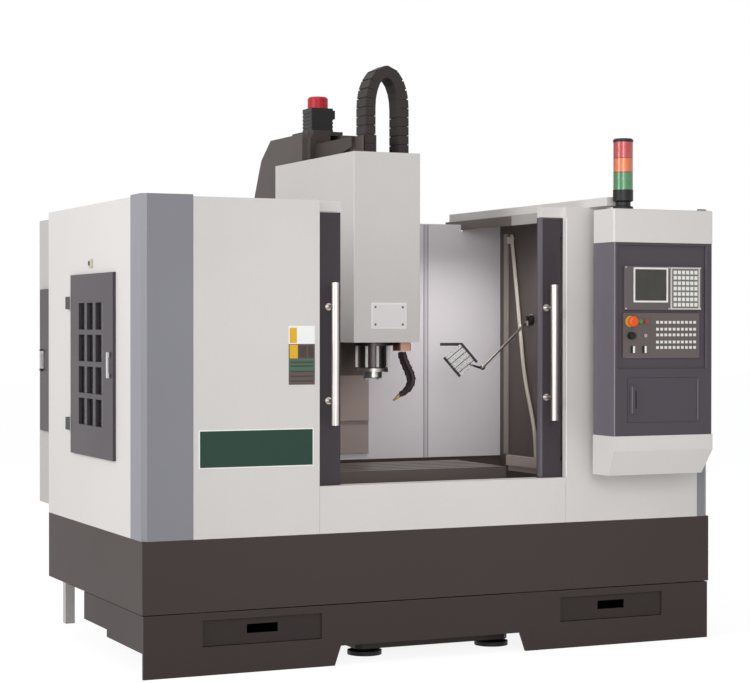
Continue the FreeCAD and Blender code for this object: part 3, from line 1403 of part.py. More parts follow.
def tower_lamp_lenses():
    """Three ribbed lens rings, one above the other."""
    low = S.pendant_high
    rings = []
    for bottom, top in ((83, 159), (159.5, 220), (220.5, 290)):
        ring = rod(S.lamp_x, -S.lamp_y, low + bottom, 43, top - bottom, name="lens")
        bore = rod(S.lamp_x, -S.lamp_y, low + bottom - 1, 12, top - bottom + 2, name="lens_bore")
        rings.append(cut(ring, [bore], "lens_ring"))
    return keep(fuse(rings, "tower_lamp_lenses"), "tower_lamp_lenses")


# ---- the whole machine -----------------------------------------------------------------------------

def main():
    bed()
    levelling_feet()
    saddle()
    table()
    column()
    z_servo_motor()
    ball_screw("x_ball_screw", "x", S.table_x - 545, S.table_y, table_low() - 20, 1090, 30)
    ball_screw("y_ball_screw", "y", S.table_x, 296, S.bed_top + 15, 826, 30)
    ball_screw("z_ball_screw", "z", S.screw_x, S.screw_y, 970, 1370, 27)
    spindle_head()
    head_cover()
    z_cover_middle()
    spindle()
    coolant_hoses()
    drag_chain()
    magazine_carriage()
    tool_carousel()
    base_skirt()
    chip_tray()
    coolant_tank()
    chip_drawer("left_chip_drawer", S.left_drawer)
    chip_drawer("right_chip_drawer", S.right_drawer)
    front_left_panel()
    sill_panel()
    front_right_panel()
    corner_pillar("front_left_pillar", 0, S.pillar_wide, 0)
    corner_pillar("front_right_pillar", S.machine_wide, S.machine_wide - S.right_pillar_wide, 1)
    side_panel("left_side_panel", size(0), 1)
    side_panel("right_side_panel", S.machine_wide, -1)
    service_door("left_service_door", size(0), -1, True)
    service_glass()
    service_door("right_service_door", S.machine_wide, 1, False)
    inner_back_wall()
    inner_right_wall()
    lamp_arm()
    lamp_head()
    right_roof()
    cable_duct()
    left, right = S.stile_right - 651, S.machine_wide - S.stile_right + 21
    sliding_door("left_door", left, S.stile_right, True)
    door_glass("left_door_glass", left, S.stile_right, True)
    door_handle("left_door_handle", 825)
    sliding_door("right_door", right, right + 650, False)
    door_glass("right_door_glass", right, right + 650, False)
    door_handle("right_door_handle", 1869)
    electrical_cabinet()
    cabinet_door()
    pendant_post()
    pendant_housing()
    pendant_cap()
    pendant_base()
    pendant_door()
    control_unit()
    screen_glass()
    operation_panel()
    emergency_stop()
    feed_knob()
    push_button("start_button", 2167, 1441, 9, 7, 14)
    push_button("hold_button", 2195, 1441, 9, 7, 14)
    tower_lamp_stand()
    tower_lamp_lenses()


main()
doc.recompute()
os.makedirs("parts", exist_ok=True)
faults = 0
for item in nodes:
    shape = item.Shape
    good = "Invalid" not in item.State and "Error" not in item.State
    if not good or shape.isNull() or not shape.isValid() or not shape.Solids:
        print("fault in", item.Label, item.State)
        faults += 1
        continue
    shape.exportStep("parts/%s.step" % item.Label)
for item in doc.Objects:
    if "Invalid" in item.State or "Error" in item.State:
        print("fault in", item.Name, item.State)
        faults += 1
print("%d sub-parts, %d faults" % (len(nodes), faults))
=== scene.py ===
import math

import bmesh
import bpy
from mathutils import Matrix, Vector


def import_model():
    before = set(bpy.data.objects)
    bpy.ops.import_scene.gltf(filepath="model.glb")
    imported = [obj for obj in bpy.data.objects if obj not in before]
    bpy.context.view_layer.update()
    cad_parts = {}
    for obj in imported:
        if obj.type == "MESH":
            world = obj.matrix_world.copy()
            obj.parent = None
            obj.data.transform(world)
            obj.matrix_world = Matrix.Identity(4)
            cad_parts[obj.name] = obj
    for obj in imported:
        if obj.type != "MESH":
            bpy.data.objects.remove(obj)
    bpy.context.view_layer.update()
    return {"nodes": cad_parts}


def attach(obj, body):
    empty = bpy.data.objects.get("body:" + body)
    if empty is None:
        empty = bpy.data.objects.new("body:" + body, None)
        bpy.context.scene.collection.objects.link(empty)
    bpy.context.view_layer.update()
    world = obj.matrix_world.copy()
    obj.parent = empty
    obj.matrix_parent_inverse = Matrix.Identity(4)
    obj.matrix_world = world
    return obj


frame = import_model()
nodes = frame["nodes"]

# The drawing measures in millimetres from the enclosure's front left corner on the floor: x to
# the right, y to the back, z up. The frame starts at the middle of the machine's outline.
CENTRE_X = 1350
CENTRE_Y = 792
MACHINE_WIDE = 2 * CENTRE_X


def place(x, y, z):
    """A point of the drawing, given in the frame's metres."""
    return Vector(((x - CENTRE_X) / 1000, (y - CENTRE_Y) / 1000, z / 1000))


# ---- shader nodes ----------------------------------------------------------------------------

def add(tree, kind, **values):
    """Adds a node; values set its properties, or its inputs if given as in_NAME."""
    node = tree.nodes.new(kind)
    for key, value in values.items():
        if key.startswith("in_"):
            node.inputs[key[3:].replace("_", " ")].default_value = value
        else:
            setattr(node, key, value)
    return node


def feed(tree, socket, value):
    """Links a socket to the input, or sets the input to a constant."""
    if isinstance(value, bpy.types.NodeSocket):
        tree.links.new(value, socket)
    else:
        socket.default_value = value


def math_node(tree, operation, first, second=None, third=None, clamp=False):
    node = add(tree, "ShaderNodeMath", operation=operation, use_clamp=clamp)
    for socket, value in zip(node.inputs, (first, second, third)):
        if value is not None:
            feed(tree, socket, value)
    return node.outputs[0]


def vary(tree, value, mask, swing, clamp=False):
    """The value, moved by half the swing either way as the mask goes from 0 to 1."""
    if isinstance(value, (int, float)):
        low = value - swing / 2
    else:
        low = math_node(tree, "SUBTRACT", value, swing / 2)
    return math_node(tree, "MULTIPLY_ADD", mask, swing, low, clamp)


def mix_color(tree, factor, first, second):
    node = add(tree, "ShaderNodeMix", data_type="RGBA")
    for index, value in ((0, factor), (6, first), (7, second)):
        feed(tree, node.inputs[index], value)
    return node.outputs[2]


def object_coords(tree):
    return tree.nodes.new("ShaderNodeTexCoord").outputs["Object"]


def noise(tree, coords, scale, detail=3.0, stretch=None):
    """Noise from 0 to 1; stretch squeezes it along the axes so that it turns into streaks."""
    if stretch:
        mapping = add(tree, "ShaderNodeMapping", in_Scale=stretch)
        tree.links.new(coords, mapping.inputs["Vector"])
        coords = mapping.outputs[0]
    node = add(tree, "ShaderNodeTexNoise", in_Scale=scale, in_Detail=detail)
    tree.links.new(coords, node.inputs["Vector"])
    return node.outputs["Fac"]


# ---- node groups: effects that several materials share ---------------------------------------

def new_group(name, inputs, outputs):
    group = bpy.data.node_groups.new(name, "ShaderNodeTree")
    for label, kind, value in inputs:
        socket = group.interface.new_socket(label, in_out="INPUT", socket_type=kind)
        socket.default_value = value
    for label, kind in outputs:
        group.interface.new_socket(label, in_out="OUTPUT", socket_type=kind)
    return group, group.nodes.new("NodeGroupInput"), group.nodes.new("NodeGroupOutput")


FINISH_OUTPUTS = [("Colour", "NodeSocketColor"), ("Roughness", "NodeSocketFloat"),
                  ("Height", "NodeSocketFloat")]


def shade_colour(group, source, sink, shade):
    """Puts out the group's colour, lightened or darkened by the shade."""
    tone = add(group, "ShaderNodeVectorMath", operation="SCALE")
    group.links.new(source.outputs["Colour"], tone.inputs[0])
    group.links.new(shade, tone.inputs["Scale"])
    group.links.new(tone.outputs[0], sink.inputs["Colour"])


def paint_group():
    """Powder paint: faint cloudiness, a fine grain and orange peel."""
    group, source, sink = new_group("powder_paint", [
        ("Colour", "NodeSocketColor", (0.8, 0.8, 0.8, 1)), ("Roughness", "NodeSocketFloat", 0.4),
        ("Peel", "NodeSocketFloat", 1.0)], FINISH_OUTPUTS)
    coords = object_coords(group)
    cloud = noise(group, coords, 1.7, 4)
    grain = noise(group, coords, 55, 2)
    peel = noise(group, coords, 420, 2)
    shade_colour(group, source, sink, vary(group, vary(group, 1.0, cloud, 0.10), grain, 0.03))
    rough = vary(group, source.outputs["Roughness"], cloud, 0.14)
    group.links.new(rough, sink.inputs["Roughness"])
    height = math_node(group, "MULTIPLY", peel, source.outputs["Peel"])
    group.links.new(height, sink.inputs["Height"])
    return group


def metal_group():
    """Machined or brushed metal: streaks along one axis and cloudy smears."""
    group, source, sink = new_group("worked_metal", [
        ("Colour", "NodeSocketColor", (0.6, 0.6, 0.6, 1)), ("Roughness", "NodeSocketFloat", 0.3),
        ("Streaks", "NodeSocketVector", (1, 1, 1))], FINISH_OUTPUTS)
    coords = object_coords(group)
    squeeze = add(group, "ShaderNodeVectorMath", operation="MULTIPLY")
    group.links.new(coords, squeeze.inputs[0])
    group.links.new(source.outputs["Streaks"], squeeze.inputs[1])
    streak = noise(group, squeeze.outputs[0], 90, 3)
    smear = noise(group, coords, 3.1, 4)
    shade_colour(group, source, sink, vary(group, vary(group, 1.0, smear, 0.18), streak, 0.22))
    rough = vary(group, source.outputs["Roughness"], smear, 0.20)
    rough = vary(group, rough, streak, 0.10, clamp=True)
    group.links.new(rough, sink.inputs["Roughness"])
    group.links.new(streak, sink.inputs["Height"])
    return group


def box_mask_group():
    """1 inside a box in the machine's frame, 0 outside it."""
    group, source, sink = new_group("box_mask", [
        ("Low", "NodeSocketVector", (0, 0, 0)), ("High", "NodeSocketVector", (1, 1, 1))],
        [("Mask", "NodeSocketFloat")])
    at, low, high = (group.nodes.new("ShaderNodeSeparateXYZ") for _ in range(3))
    group.links.new(object_coords(group), at.inputs[0])
    group.links.new(source.outputs["Low"], low.inputs[0])
    group.links.new(source.outputs["High"], high.inputs[0])
    mask = 1.0
    for axis in range(3):
        over = math_node(group, "GREATER_THAN", at.outputs[axis], low.outputs[axis])
        under = math_node(group, "LESS_THAN", at.outputs[axis], high.outputs[axis])
        both = math_node(group, "MULTIPLY", over, under)
        mask = math_node(group, "MULTIPLY", both, mask)
    group.links.new(mask, sink.inputs["Mask"])
    return group


POWDER = paint_group()
METAL = metal_group()
BOX_MASK = box_mask_group()

PEEL_DEPTH = 0.00012
STREAK_DEPTH = 0.00005


# ---- kinds of material -----------------------------------------------------------------------

def srgb(r, g, b):
    """Turns a colour given as it looks on a screen, 0 to 255, into the values shaders use."""
    values = []
    for c in (r, g, b):
        c = c / 255
        values.append(c / 12.92 if c <= 0.04045 else ((c + 0.055) / 1.055) ** 2.4)
    return (*values, 1)


def new_material(name):
    material = bpy.data.materials.new(name)
    material.use_nodes = True
    tree = material.node_tree
    return material, tree, tree.nodes["Principled BSDF"]


def use_group(tree, group, **inputs):
    node = add(tree, "ShaderNodeGroup", node_tree=group)
    for key, value in inputs.items():
        feed(tree, node.inputs[key], value)
    return node


def masked_colour(tree, colour, zones):
    """The base colour, changed to another inside each box of the list."""
    for low, high, inside in zones:
        mask = use_group(tree, BOX_MASK, Low=low, High=high).outputs["Mask"]
        colour = mix_color(tree, mask, colour, inside)
    return colour


def bump(tree, shader, height, distance):
    node = add(tree, "ShaderNodeBump", in_Strength=1.0, in_Distance=distance)
    tree.links.new(height, node.inputs["Height"])
    tree.links.new(node.outputs[0], shader.inputs["Normal"])


def finish_with(tree, shader, look, depth):
    """Feeds what a finish group puts out into the shader."""
    tree.links.new(look.outputs["Colour"], shader.inputs["Base Color"])
    tree.links.new(look.outputs["Roughness"], shader.inputs["Roughness"])
    bump(tree, shader, look.outputs["Height"], depth)


def paint(name, colour, roughness=0.42, peel=1.0, zones=(), shine=0.28):
    material, tree, shader = new_material(name)
    base = masked_colour(tree, colour, zones)
    look = use_group(tree, POWDER, Colour=base, Roughness=roughness, Peel=peel)
    finish_with(tree, shader, look, PEEL_DEPTH)
    shader.inputs["Specular IOR Level"].default_value = shine
    return material


def metal(name, colour, roughness=0.3, streaks=(1, 1, 1)):
    material, tree, shader = new_material(name)
    look = use_group(tree, METAL, Colour=colour, Roughness=roughness, Streaks=streaks)
    finish_with(tree, shader, look, STREAK_DEPTH)
    shader.inputs["Metallic"].default_value = 1.0
    return material


def plastic(name, colour, roughness=0.45, zones=()):
    return paint(name, colour, roughness, 0.6, zones)


def glass(name, colour, roughness=0.06):
    """Clear or tinted glass with faint smears."""
    material, tree, shader = new_material(name)
    cloud = noise(tree, object_coords(tree), 6, 3)
    rough = math_node(tree, "MULTIPLY_ADD", cloud, 0.05, roughness)
    tree.links.new(rough, shader.inputs["Roughness"])
    tint = mix_color(tree, cloud, colour, tuple(c * 0.94 for c in colour[:3]) + (1,))
    tree.links.new(tint, shader.inputs["Base Color"])
    shader.inputs["Metallic"].default_value = 0.0
    shader.inputs["Transmission Weight"].default_value = 1.0
    shader.inputs["IOR"].default_value = 1.45
    return material


# ---- boxes that pick out what has its own colour on a solid ----------------------------------

def zone(x0, y0, z0, x1, y1, z1, colour):
    return (tuple(place(x0, y0, z0)), tuple(place(x1, y1, z1)), colour)


def outside(near, far, y0, z0, y1, z1, colour):
    """The same box off both side panels, from near to far millimetres outside them."""
    return [zone(-far, y0, z0, -near, y1, z1, colour),
            zone(MACHINE_WIDE + near, y0, z0, MACHINE_WIDE + far, y1, z1, colour)]


def ahead(face, x0, z0, x1, z1, colour):
    """A box in front of one of the pendant's faces, out past its highest key."""
    past_keys = -300
    return zone(x0, past_keys, z0, x1, face, z1, colour)


# ---- colours and materials -------------------------------------------------------------------

PALE = srgb(214, 210, 207)
GREY = srgb(136, 135, 142)
SKIRT = srgb(70, 62, 60)
TANK = srgb(66, 58, 56)
DRAWER = srgb(58, 50, 49)
PENDANT = srgb(74, 67, 75)
# The pendant's left face and front bevel are lighter copies of its paint: painted light from the
# left and a painted highlight.
PENDANT_LIT_SIDE = srgb(104, 99, 107)
PENDANT_BEVEL_HIGHLIGHT = srgb(124, 119, 127)
DOOR = srgb(60, 53, 58)
# A lighter copy of the door's paint for its upright edge: a painted highlight.
DOOR_EDGE_HIGHLIGHT = srgb(104, 98, 108)
SILVER = srgb(206, 202, 196)
BLACK = srgb(28, 28, 30)
CASTING = srgb(196, 198, 196)
CHAIN_ARM = srgb(62, 54, 50)
GRIP = srgb(214, 212, 212)
ROCKER = srgb(232, 232, 228)
DULL = 0.1

# Enclosure
pale_paint = paint("pale_paint", PALE, 0.40)
side_paint = paint("side_paint", PALE, 0.42,
                   zones=outside(0.2, 30, 990, 900, 1080, 1600, BLACK))
pillar_paint = paint("pillar_paint", GREY, 0.38)
skirt_paint = paint("skirt_paint", SKIRT, 0.45, shine=DULL)
tank_paint = paint("tank_paint", TANK, 0.45, shine=DULL)
drawer_paint = paint("drawer_paint", DRAWER, 0.45, shine=DULL)
# The cabinet is a darker copy of the pale paint: painted shade.
shaded_cabinet_paint = paint("shaded_cabinet_paint", srgb(188, 183, 179), 0.42)
door_paint = paint("service_door_paint", srgb(66, 58, 63), 0.42, zones=[
    *outside(18.5, 40, 380, 1195, 412, 1320, GRIP),
    zone(50, 1745, 1215, 67.5, 1770, 1300, GRIP)])
# The sliding doors' upright edge strip is painted lighter than the door: a painted highlight.
sliding_door_paint = paint("sliding_door_paint", DOOR, 0.38, zones=[
    zone(1836, -20, 757.5, 1852, 60, 1896.5, DOOR_EDGE_HIGHLIGHT)])
# The roof is a darker copy of the pale paint, and the far part of its left fascia is darker still:
# both are painted shade.
shaded_roof_paint = paint("shaded_roof_paint", srgb(172, 168, 164), 0.42, zones=[
    zone(2050, 700, 1890, 2059.9, 1410, 1943, srgb(104, 94, 88))])

# Work area: the apron at the wall's foot and the splash box on the right wall have their own tone
wall_paint = paint("wall_paint", srgb(216, 211, 214), 0.42, 0.4, zones=[
    zone(0, 1200, 500, 2700, 1240, 770.5, srgb(84, 74, 70))])
right_wall_paint = paint("right_wall_paint", srgb(93, 84, 79), 0.36, zones=[
    zone(2200, 812, 700, 2285, 1132, 779, srgb(204, 190, 184))])
fold_paint = paint("fold_paint", srgb(150, 145, 150), 0.3)
seam_paint = paint("seam_paint", srgb(196, 191, 195), 0.4)
post_paint = paint("post_paint", srgb(160, 150, 144), 0.35)
tray_steel = metal("tray_steel", srgb(96, 87, 82), 0.42)
table_steel = paint("table_steel", srgb(108, 98, 92), 0.36, 0.6)
arm_metal = metal("arm_metal", srgb(150, 142, 140), 0.34)
pale_plastic = plastic("pale_plastic", srgb(214, 202, 192), 0.4)

# Castings, head and slides: the chain's arm and trough on the column are darker than the casting
casting_paint = paint("casting_paint", CASTING, 0.5, 2.0)
bed_paint = paint("bed_paint", srgb(66, 58, 55), 0.5, 2.0)
saddle_paint = paint("saddle_paint", srgb(84, 75, 71), 0.5, 2.0)
column_paint = paint("column_paint", srgb(86, 78, 76), 0.5, 2.0, zones=[
    zone(1240, 690, 2100, 1450, 1245.8, 2420, CHAIN_ARM),
    zone(1240, 1245.8, 2348.2, 1450, 1520, 2420, CHAIN_ARM)])
# The slot cover is darker at the back, by the column: painted shade.
slot_cover_paint = paint("slot_cover_paint", srgb(164, 148, 142), 0.4, zones=[
    zone(1150, 1150, 1180, 1560, 1240, 1360, srgb(104, 92, 86))])
motor_paint = paint("motor_paint", BLACK, 0.4, zones=[
    zone(1290, 1330, 2488, 1410, 1450, 2560, srgb(192, 32, 44))])
nose_metal = metal("nose_metal", srgb(84, 78, 77), 0.42)
# The ring at the nose's foot is lighter than the nose: partly the ring's own grey, partly a painted
# highlight.
ring_metal = metal("ring_metal", srgb(170, 164, 162), 0.36)
ground_steel = metal("ground_steel", srgb(178, 178, 178), 0.32, (0.05, 1, 1))
copper = metal("copper", srgb(216, 170, 146), 0.36)
# The nose's tubes are metal, painted plain white to stand for their bright reflections: a painted
# reflection.
tube_painted_sheen = plastic("tube_painted_sheen", srgb(226, 221, 217), 0.2)
hose_plastic = plastic("hose_plastic", srgb(60, 47, 50), 0.45, [
    zone(1380, 600, 1060, 1458, 780, 1108, srgb(216, 176, 98))])
rubber = plastic("black_rubber", srgb(52, 45, 43), 0.6)

# Pendant: the keypad's rim, its plate and its keys; the membrane keys, two rockers and a button
# The pendant's left face and its front bevel are painted lighter than the rest: painted light from
# the left, and a painted highlight on the bevel.
pendant_paint = paint("pendant_paint", PENDANT, 0.36, zones=[
    zone(2020, -258, 940, 2037.6, -80, 1790, PENDANT_LIT_SIDE),
    zone(2020, -268, 940, 2043, -258, 1790, PENDANT_BEVEL_HIGHLIGHT)])
unit_paint = paint("control_unit_paint", srgb(98, 90, 90), 0.4, zones=[
    ahead(-250, 2323, 1494, 2476, 1678, SILVER),
    zone(2331, -265.5, 1500, 2468, -250, 1672, srgb(120, 116, 112)),
    ahead(-264.2, 2331, 1500, 2468, 1672, srgb(232, 230, 224))])
panel_paint = paint("operation_panel_paint", srgb(98, 90, 88), 0.42, zones=[
    ahead(-260.5, 2245, 1300, 2480, 1460, srgb(226, 224, 218)),
    ahead(-262, 2110, 1300, 2130, 1340, BLACK), ahead(-262, 2131, 1300, 2145, 1340, ROCKER),
    ahead(-262, 2176, 1300, 2190, 1340, BLACK), ahead(-262, 2190.001, 1300, 2206, 1340, ROCKER),
    ahead(-263, 2183, 1370, 2207, 1390, srgb(170, 164, 158))])
stop_plastic = plastic("stop_plastic", srgb(222, 88, 34), 0.25)
button_green = plastic("green_button_plastic", srgb(60, 140, 80), 0.35)
button_red = plastic("red_button_plastic", srgb(170, 60, 50), 0.35)
grip_plastic = plastic("grip_plastic", srgb(120, 113, 120), 0.4)
ivory_plastic = plastic("ivory_plastic", srgb(206, 200, 178), 0.4)

# Plates and colour fields
sign_green = plastic("sign_green", srgb(32, 62, 50), 0.35)
sign_white = plastic("sign_white", srgb(244, 244, 242), 0.35)
sign_yellow = plastic("sign_yellow", srgb(226, 176, 44), 0.35)
sign_brown = plastic("sign_brown", srgb(96, 84, 78), 0.4)
sign_grey_green = plastic("sign_grey_green", srgb(70, 104, 84), 0.4)
sign_umber = plastic("sign_umber", srgb(96, 82, 78), 0.4)
sign_dark = plastic("sign_dark", srgb(70, 62, 58), 0.4)
plate_paint = plastic("plate_paint", srgb(236, 232, 230), 0.25)
plate_silver = metal("plate_silver", srgb(226, 222, 220), 0.4, (1, 1, 0.1))

# Shared small parts and glass
black_paint = paint("black_paint", BLACK, 0.45)
satin_silver = metal("satin_silver", srgb(206, 198, 194), 0.34, (1, 1, 0.05))
lamp_glass = glass("lamp_glass", srgb(204, 202, 200), 0.2)
window_glass = glass("window_glass", srgb(206, 212, 210))
dark_glass = glass("dark_glass", srgb(92, 96, 96), 0.12)


def lens_material():
    """Ribbed lens plastic in three colours, one above the other, with painted shade where it curves
    away.
    """
    green_top, amber_top = 2088.3, 2149.3
    lens_joint = srgb(84, 40, 24)

    def band(z0, z1, colour):
        return zone(2040, -280, z0, 2180, -150, z1, colour)

    material, tree, shader = new_material("lens_plastic")
    colour = masked_colour(tree, srgb(192, 28, 22), [
        band(2000, green_top, srgb(22, 128, 62)),
        band(green_top, amber_top, srgb(232, 108, 22)),
        band(green_top - 1.9, green_top + 1.5, lens_joint),
        band(amber_top - 1.9, amber_top + 1.5, lens_joint)])
    coords = object_coords(tree)
    cloud = noise(tree, coords, 30, 2)
    colour = mix_color(tree, math_node(tree, "MULTIPLY", cloud, 0.10), colour, (1, 1, 1, 1))
    # Painted shade towards the lens's outline.
    edge = add(tree, "ShaderNodeLayerWeight", in_Blend=0.35).outputs["Facing"]
    shaded = math_node(tree, "MULTIPLY", edge, 0.85)
    colour = mix_color(tree, shaded, colour, srgb(60, 22, 12))
    tree.links.new(colour, shader.inputs["Base Color"])
    ribs = add(tree, "ShaderNodeTexWave", wave_type="BANDS", bands_direction="Z", in_Scale=60)
    tree.links.new(coords, ribs.inputs["Vector"])
    bump(tree, shader, ribs.outputs["Fac"], 0.0008)
    shader.inputs["Roughness"].default_value = 0.2
    shader.inputs["Coat Weight"].default_value = 0.6
    shader.inputs["Metallic"].default_value = 0.0
    return material


def screen_material():
    """Dark screen glass, faintly olive where the light catches it."""
    material, tree, shader = new_material("screen_glass")
    cloud = noise(tree, object_coords(tree), 9, 2, (1, 1, 0.6))
    colour = mix_color(tree, cloud, srgb(14, 12, 8), srgb(66, 61, 49))
    tree.links.new(colour, shader.inputs["Base Color"])
    rough = math_node(tree, "MULTIPLY_ADD", cloud, 0.1, 0.08)
    tree.links.new(rough, shader.inputs["Roughness"])
    shader.inputs["Coat Weight"].default_value = 0.2
    return material


lens_plastic = lens_material()
screen_glass = screen_material()

MATERIAL_OF = {
    "bed": bed_paint, "levelling_feet": black_paint, "column": column_paint,
    "z_servo_motor": motor_paint, "inner_back_wall": wall_paint,
    "inner_right_wall": right_wall_paint, "chip_tray": tray_steel,
    "base_skirt": skirt_paint, "coolant_tank": tank_paint, "left_chip_drawer": drawer_paint,
    "right_chip_drawer": drawer_paint, "front_left_panel": pale_paint,
    "front_right_panel": pale_paint, "sill_panel": pale_paint,
    "front_left_pillar": pillar_paint, "front_right_pillar": pillar_paint,
    "left_side_panel": side_paint, "right_side_panel": side_paint,
    "right_roof": shaded_roof_paint, "cable_duct": pale_paint, "electrical_cabinet": shaded_cabinet_paint,
    "left_service_door": door_paint, "left_service_glass": dark_glass,
    "right_service_door": door_paint, "cabinet_door": door_paint,
    "left_door": sliding_door_paint, "left_door_glass": window_glass,
    "left_door_handle": satin_silver, "right_door": sliding_door_paint,
    "right_door_glass": window_glass, "right_door_handle": satin_silver,
    "saddle": saddle_paint, "table": table_steel, "x_ball_screw": ground_steel,
    "y_ball_screw": ground_steel, "z_ball_screw": ground_steel,
    "spindle_head": casting_paint, "head_cover": pale_paint, "coolant_hoses": hose_plastic,
    "spindle": ground_steel, "z_cover_middle": slot_cover_paint, "drag_chain": rubber,
    "magazine_carriage": casting_paint, "tool_carousel": ground_steel,
    "pendant_post": black_paint, "pendant_housing": pendant_paint, "pendant_cap": pale_paint,
    "pendant_base": pale_paint, "pendant_door": pendant_paint, "control_unit": unit_paint,
    "screen_glass": screen_glass, "operation_panel": panel_paint,
    "emergency_stop": stop_plastic, "feed_knob": black_paint, "start_button": button_green,
    "hold_button": button_red, "tower_lamp_stand": black_paint,
    "tower_lamp_lenses": lens_plastic, "lamp_arm": arm_metal, "lamp_head": black_paint,
}


def dress(node, material):
    mesh = nodes[node].data
    mesh.materials.clear()
    mesh.materials.append(material)


def dress_faces(node, material, chosen):
    """Gives a second material to the faces whose middle, in drawing millimetres, is chosen."""
    item = nodes[node]
    item.data.materials.append(material)
    for face in item.data.polygons:
        at = item.matrix_world @ face.center
        if chosen(at.x * 1000 + CENTRE_X, at.y * 1000 + CENTRE_Y, at.z * 1000):
            face.material_index = len(item.data.materials) - 1


def in_pane(x, y, z):
    """True on the work lamp's pane, which stands on its corner between two dark bars."""
    centre = place(1786, 700, 1262)
    turn = (Matrix.Rotation(math.radians(-24.6), 3, "Z")
            @ Matrix.Rotation(math.radians(50), 3, "Y"))
    half_wide, half_thick, half_high = 59, 8, 46
    inside = turn.inverted() @ (place(x, y, z) - centre) * 1000
    return (abs(inside.x) < half_wide and abs(inside.y) < half_thick
            and abs(inside.z) < half_high)


def dress_nodes():
    """Every node's own material, then the faces that differ on some of them."""
    cover_front, cover_foot = 1180, 1346
    head_foot, ring_top, nose_right, manifold_left = 1352.5, 1228, 1449, 1447.5
    wall_face, box_top = 2273.6, 781
    tubes_right, tubes_foot = 1436, 1225
    foot_front, foot_back, foot_low, foot_high = 866, 920, 1395, 1475
    for node, material in MATERIAL_OF.items():
        dress(node, material)
    dress_faces("lamp_head", lamp_glass, in_pane)
    dress_faces("head_cover", slot_cover_paint,
                lambda x, y, z: y > cover_front and z < cover_foot)
    dress_faces("spindle_head", nose_metal, lambda x, y, z: z < head_foot and x < nose_right)
    dress_faces("spindle_head", ring_metal, lambda x, y, z: z < ring_top and x < nose_right)
    dress_faces("spindle_head", copper, lambda x, y, z: z < head_foot and x > manifold_left)
    dress_faces("inner_right_wall", pale_plastic,
                lambda x, y, z: x < wall_face and z > box_top)
    dress_faces("inner_right_wall", black_paint, lambda x, y, z: (
        x < wall_face and foot_front < y < foot_back and foot_low < z < foot_high))
    # The tubes' white is a painted reflection.
    dress_faces("coolant_hoses", tube_painted_sheen,
                lambda x, y, z: x < tubes_right and z > tubes_foot)


dress_nodes()


# ---- ways to make a piece --------------------------------------------------------------------

def finish_piece(name, build, material, body, sharp=None):
    """Turns the built mesh into a piece; with sharp it is smooth up to that angle in degrees."""
    mesh = bpy.data.meshes.new(name)
    build.to_mesh(mesh)
    build.free()
    piece = bpy.data.objects.new(name, mesh)
    bpy.context.collection.objects.link(piece)
    mesh.materials.append(material)
    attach(piece, body)
    if sharp:
        for face in mesh.polygons:
            face.use_smooth = True
        mesh.set_sharp_from_angle(angle=math.radians(sharp))


def slab_into(build, low, high, bevel):
    """Adds one block with rounded edges to a mesh that is being built."""
    made = bmesh.ops.create_cube(build, size=1)["verts"]
    for vertex in made:
        for axis in range(3):
            vertex.co[axis] = low[axis] if vertex.co[axis] < 0 else high[axis]
    edges = {edge for vertex in made for edge in vertex.link_edges}
    bmesh.ops.bevel(build, geom=list(edges), offset=bevel, segments=2, affect="EDGES",
                    clamp_overlap=True)


def blocks(name, boxes, material, body, rounding=0.6):
    """One piece made of rounded blocks, each given by its two corners."""
    build = bmesh.new()
    for x0, y0, z0, x1, y1, z1 in boxes:
        slab_into(build, place(x0, y0, z0), place(x1, y1, z1), rounding / 1000)
    finish_piece(name, build, material, body)


def turn_into(build, outline, centre, axis, steps, hollow=False):
    """Adds a turned shape: capped at both ends, or a ring whose outline runs back to its start."""
    middle = place(*centre)
    along = Vector({"x": (1, 0, 0), "y": (0, 1, 0), "z": (0, 0, 1)}[axis])
    side = Vector((1, 0, 0)) if axis == "z" else Vector((0, 0, 1))
    other = along.cross(side)
    rings = []
    for radius, height in outline:
        ring = []
        for step in range(steps):
            angle = 2 * math.pi * step / steps
            spoke = side * math.cos(angle) + other * math.sin(angle)
            ring.append(build.verts.new(middle + along * (height / 1000) + spoke * (radius / 1000)))
        rings.append(ring)
    for lower, upper in zip(rings, rings[1:] + rings[:1] if hollow else rings[1:]):
        for step in range(steps):
            after = (step + 1) % steps
            build.faces.new((lower[step], lower[after], upper[after], upper[step]))
    if not hollow:
        build.faces.new(list(reversed(rings[0])))
        build.faces.new(rings[-1])


def turned(name, outline, centre, axis, material, body, steps=24, hollow=False):
    """One piece turned from (radius, height) points about an axis through the centre."""
    build = bmesh.new()
    turn_into(build, outline, centre, axis, steps, hollow)
    finish_piece(name, build, material, body, sharp=35)


def screw_heads(name, spots, axis, material, body, radius, height):
    """Domed screw heads at the spots, each with a shallow socket; a minus height faces forward."""
    outline = [(radius, 0), (radius, height * 0.45), (radius * 0.85, height * 0.8),
               (radius * 0.5, height), (radius * 0.42, height), (radius * 0.38, height * 0.5),
               (0.05, height * 0.5)]
    build = bmesh.new()
    for spot in spots:
        turn_into(build, outline, spot, axis, 16)
    if height < 0:
        bmesh.ops.reverse_faces(build, faces=build.faces)
    finish_piece(name, build, material, body, sharp=40)


def on_face(face, rise, x0, z0, x1, z1, sink=0.2):
    """A thin block that rises from an upright face to the front.

    It sinks a little into the face, and a minus sink starts it in front of the face.
    """
    return (x0, face - rise, z0, x1, face + sink, z1)


# ---- pieces that the drawing leaves out ------------------------------------------------------

PANEL_FACE = 0
HEAD_FACE = 591
WALL_FACE = 1220
CABINET_BACK, CABINET_TOP = 1862, 1930
UNIT_FACE = -263
KEY_PANEL_FACE = -259
LATCH_FACE = -272


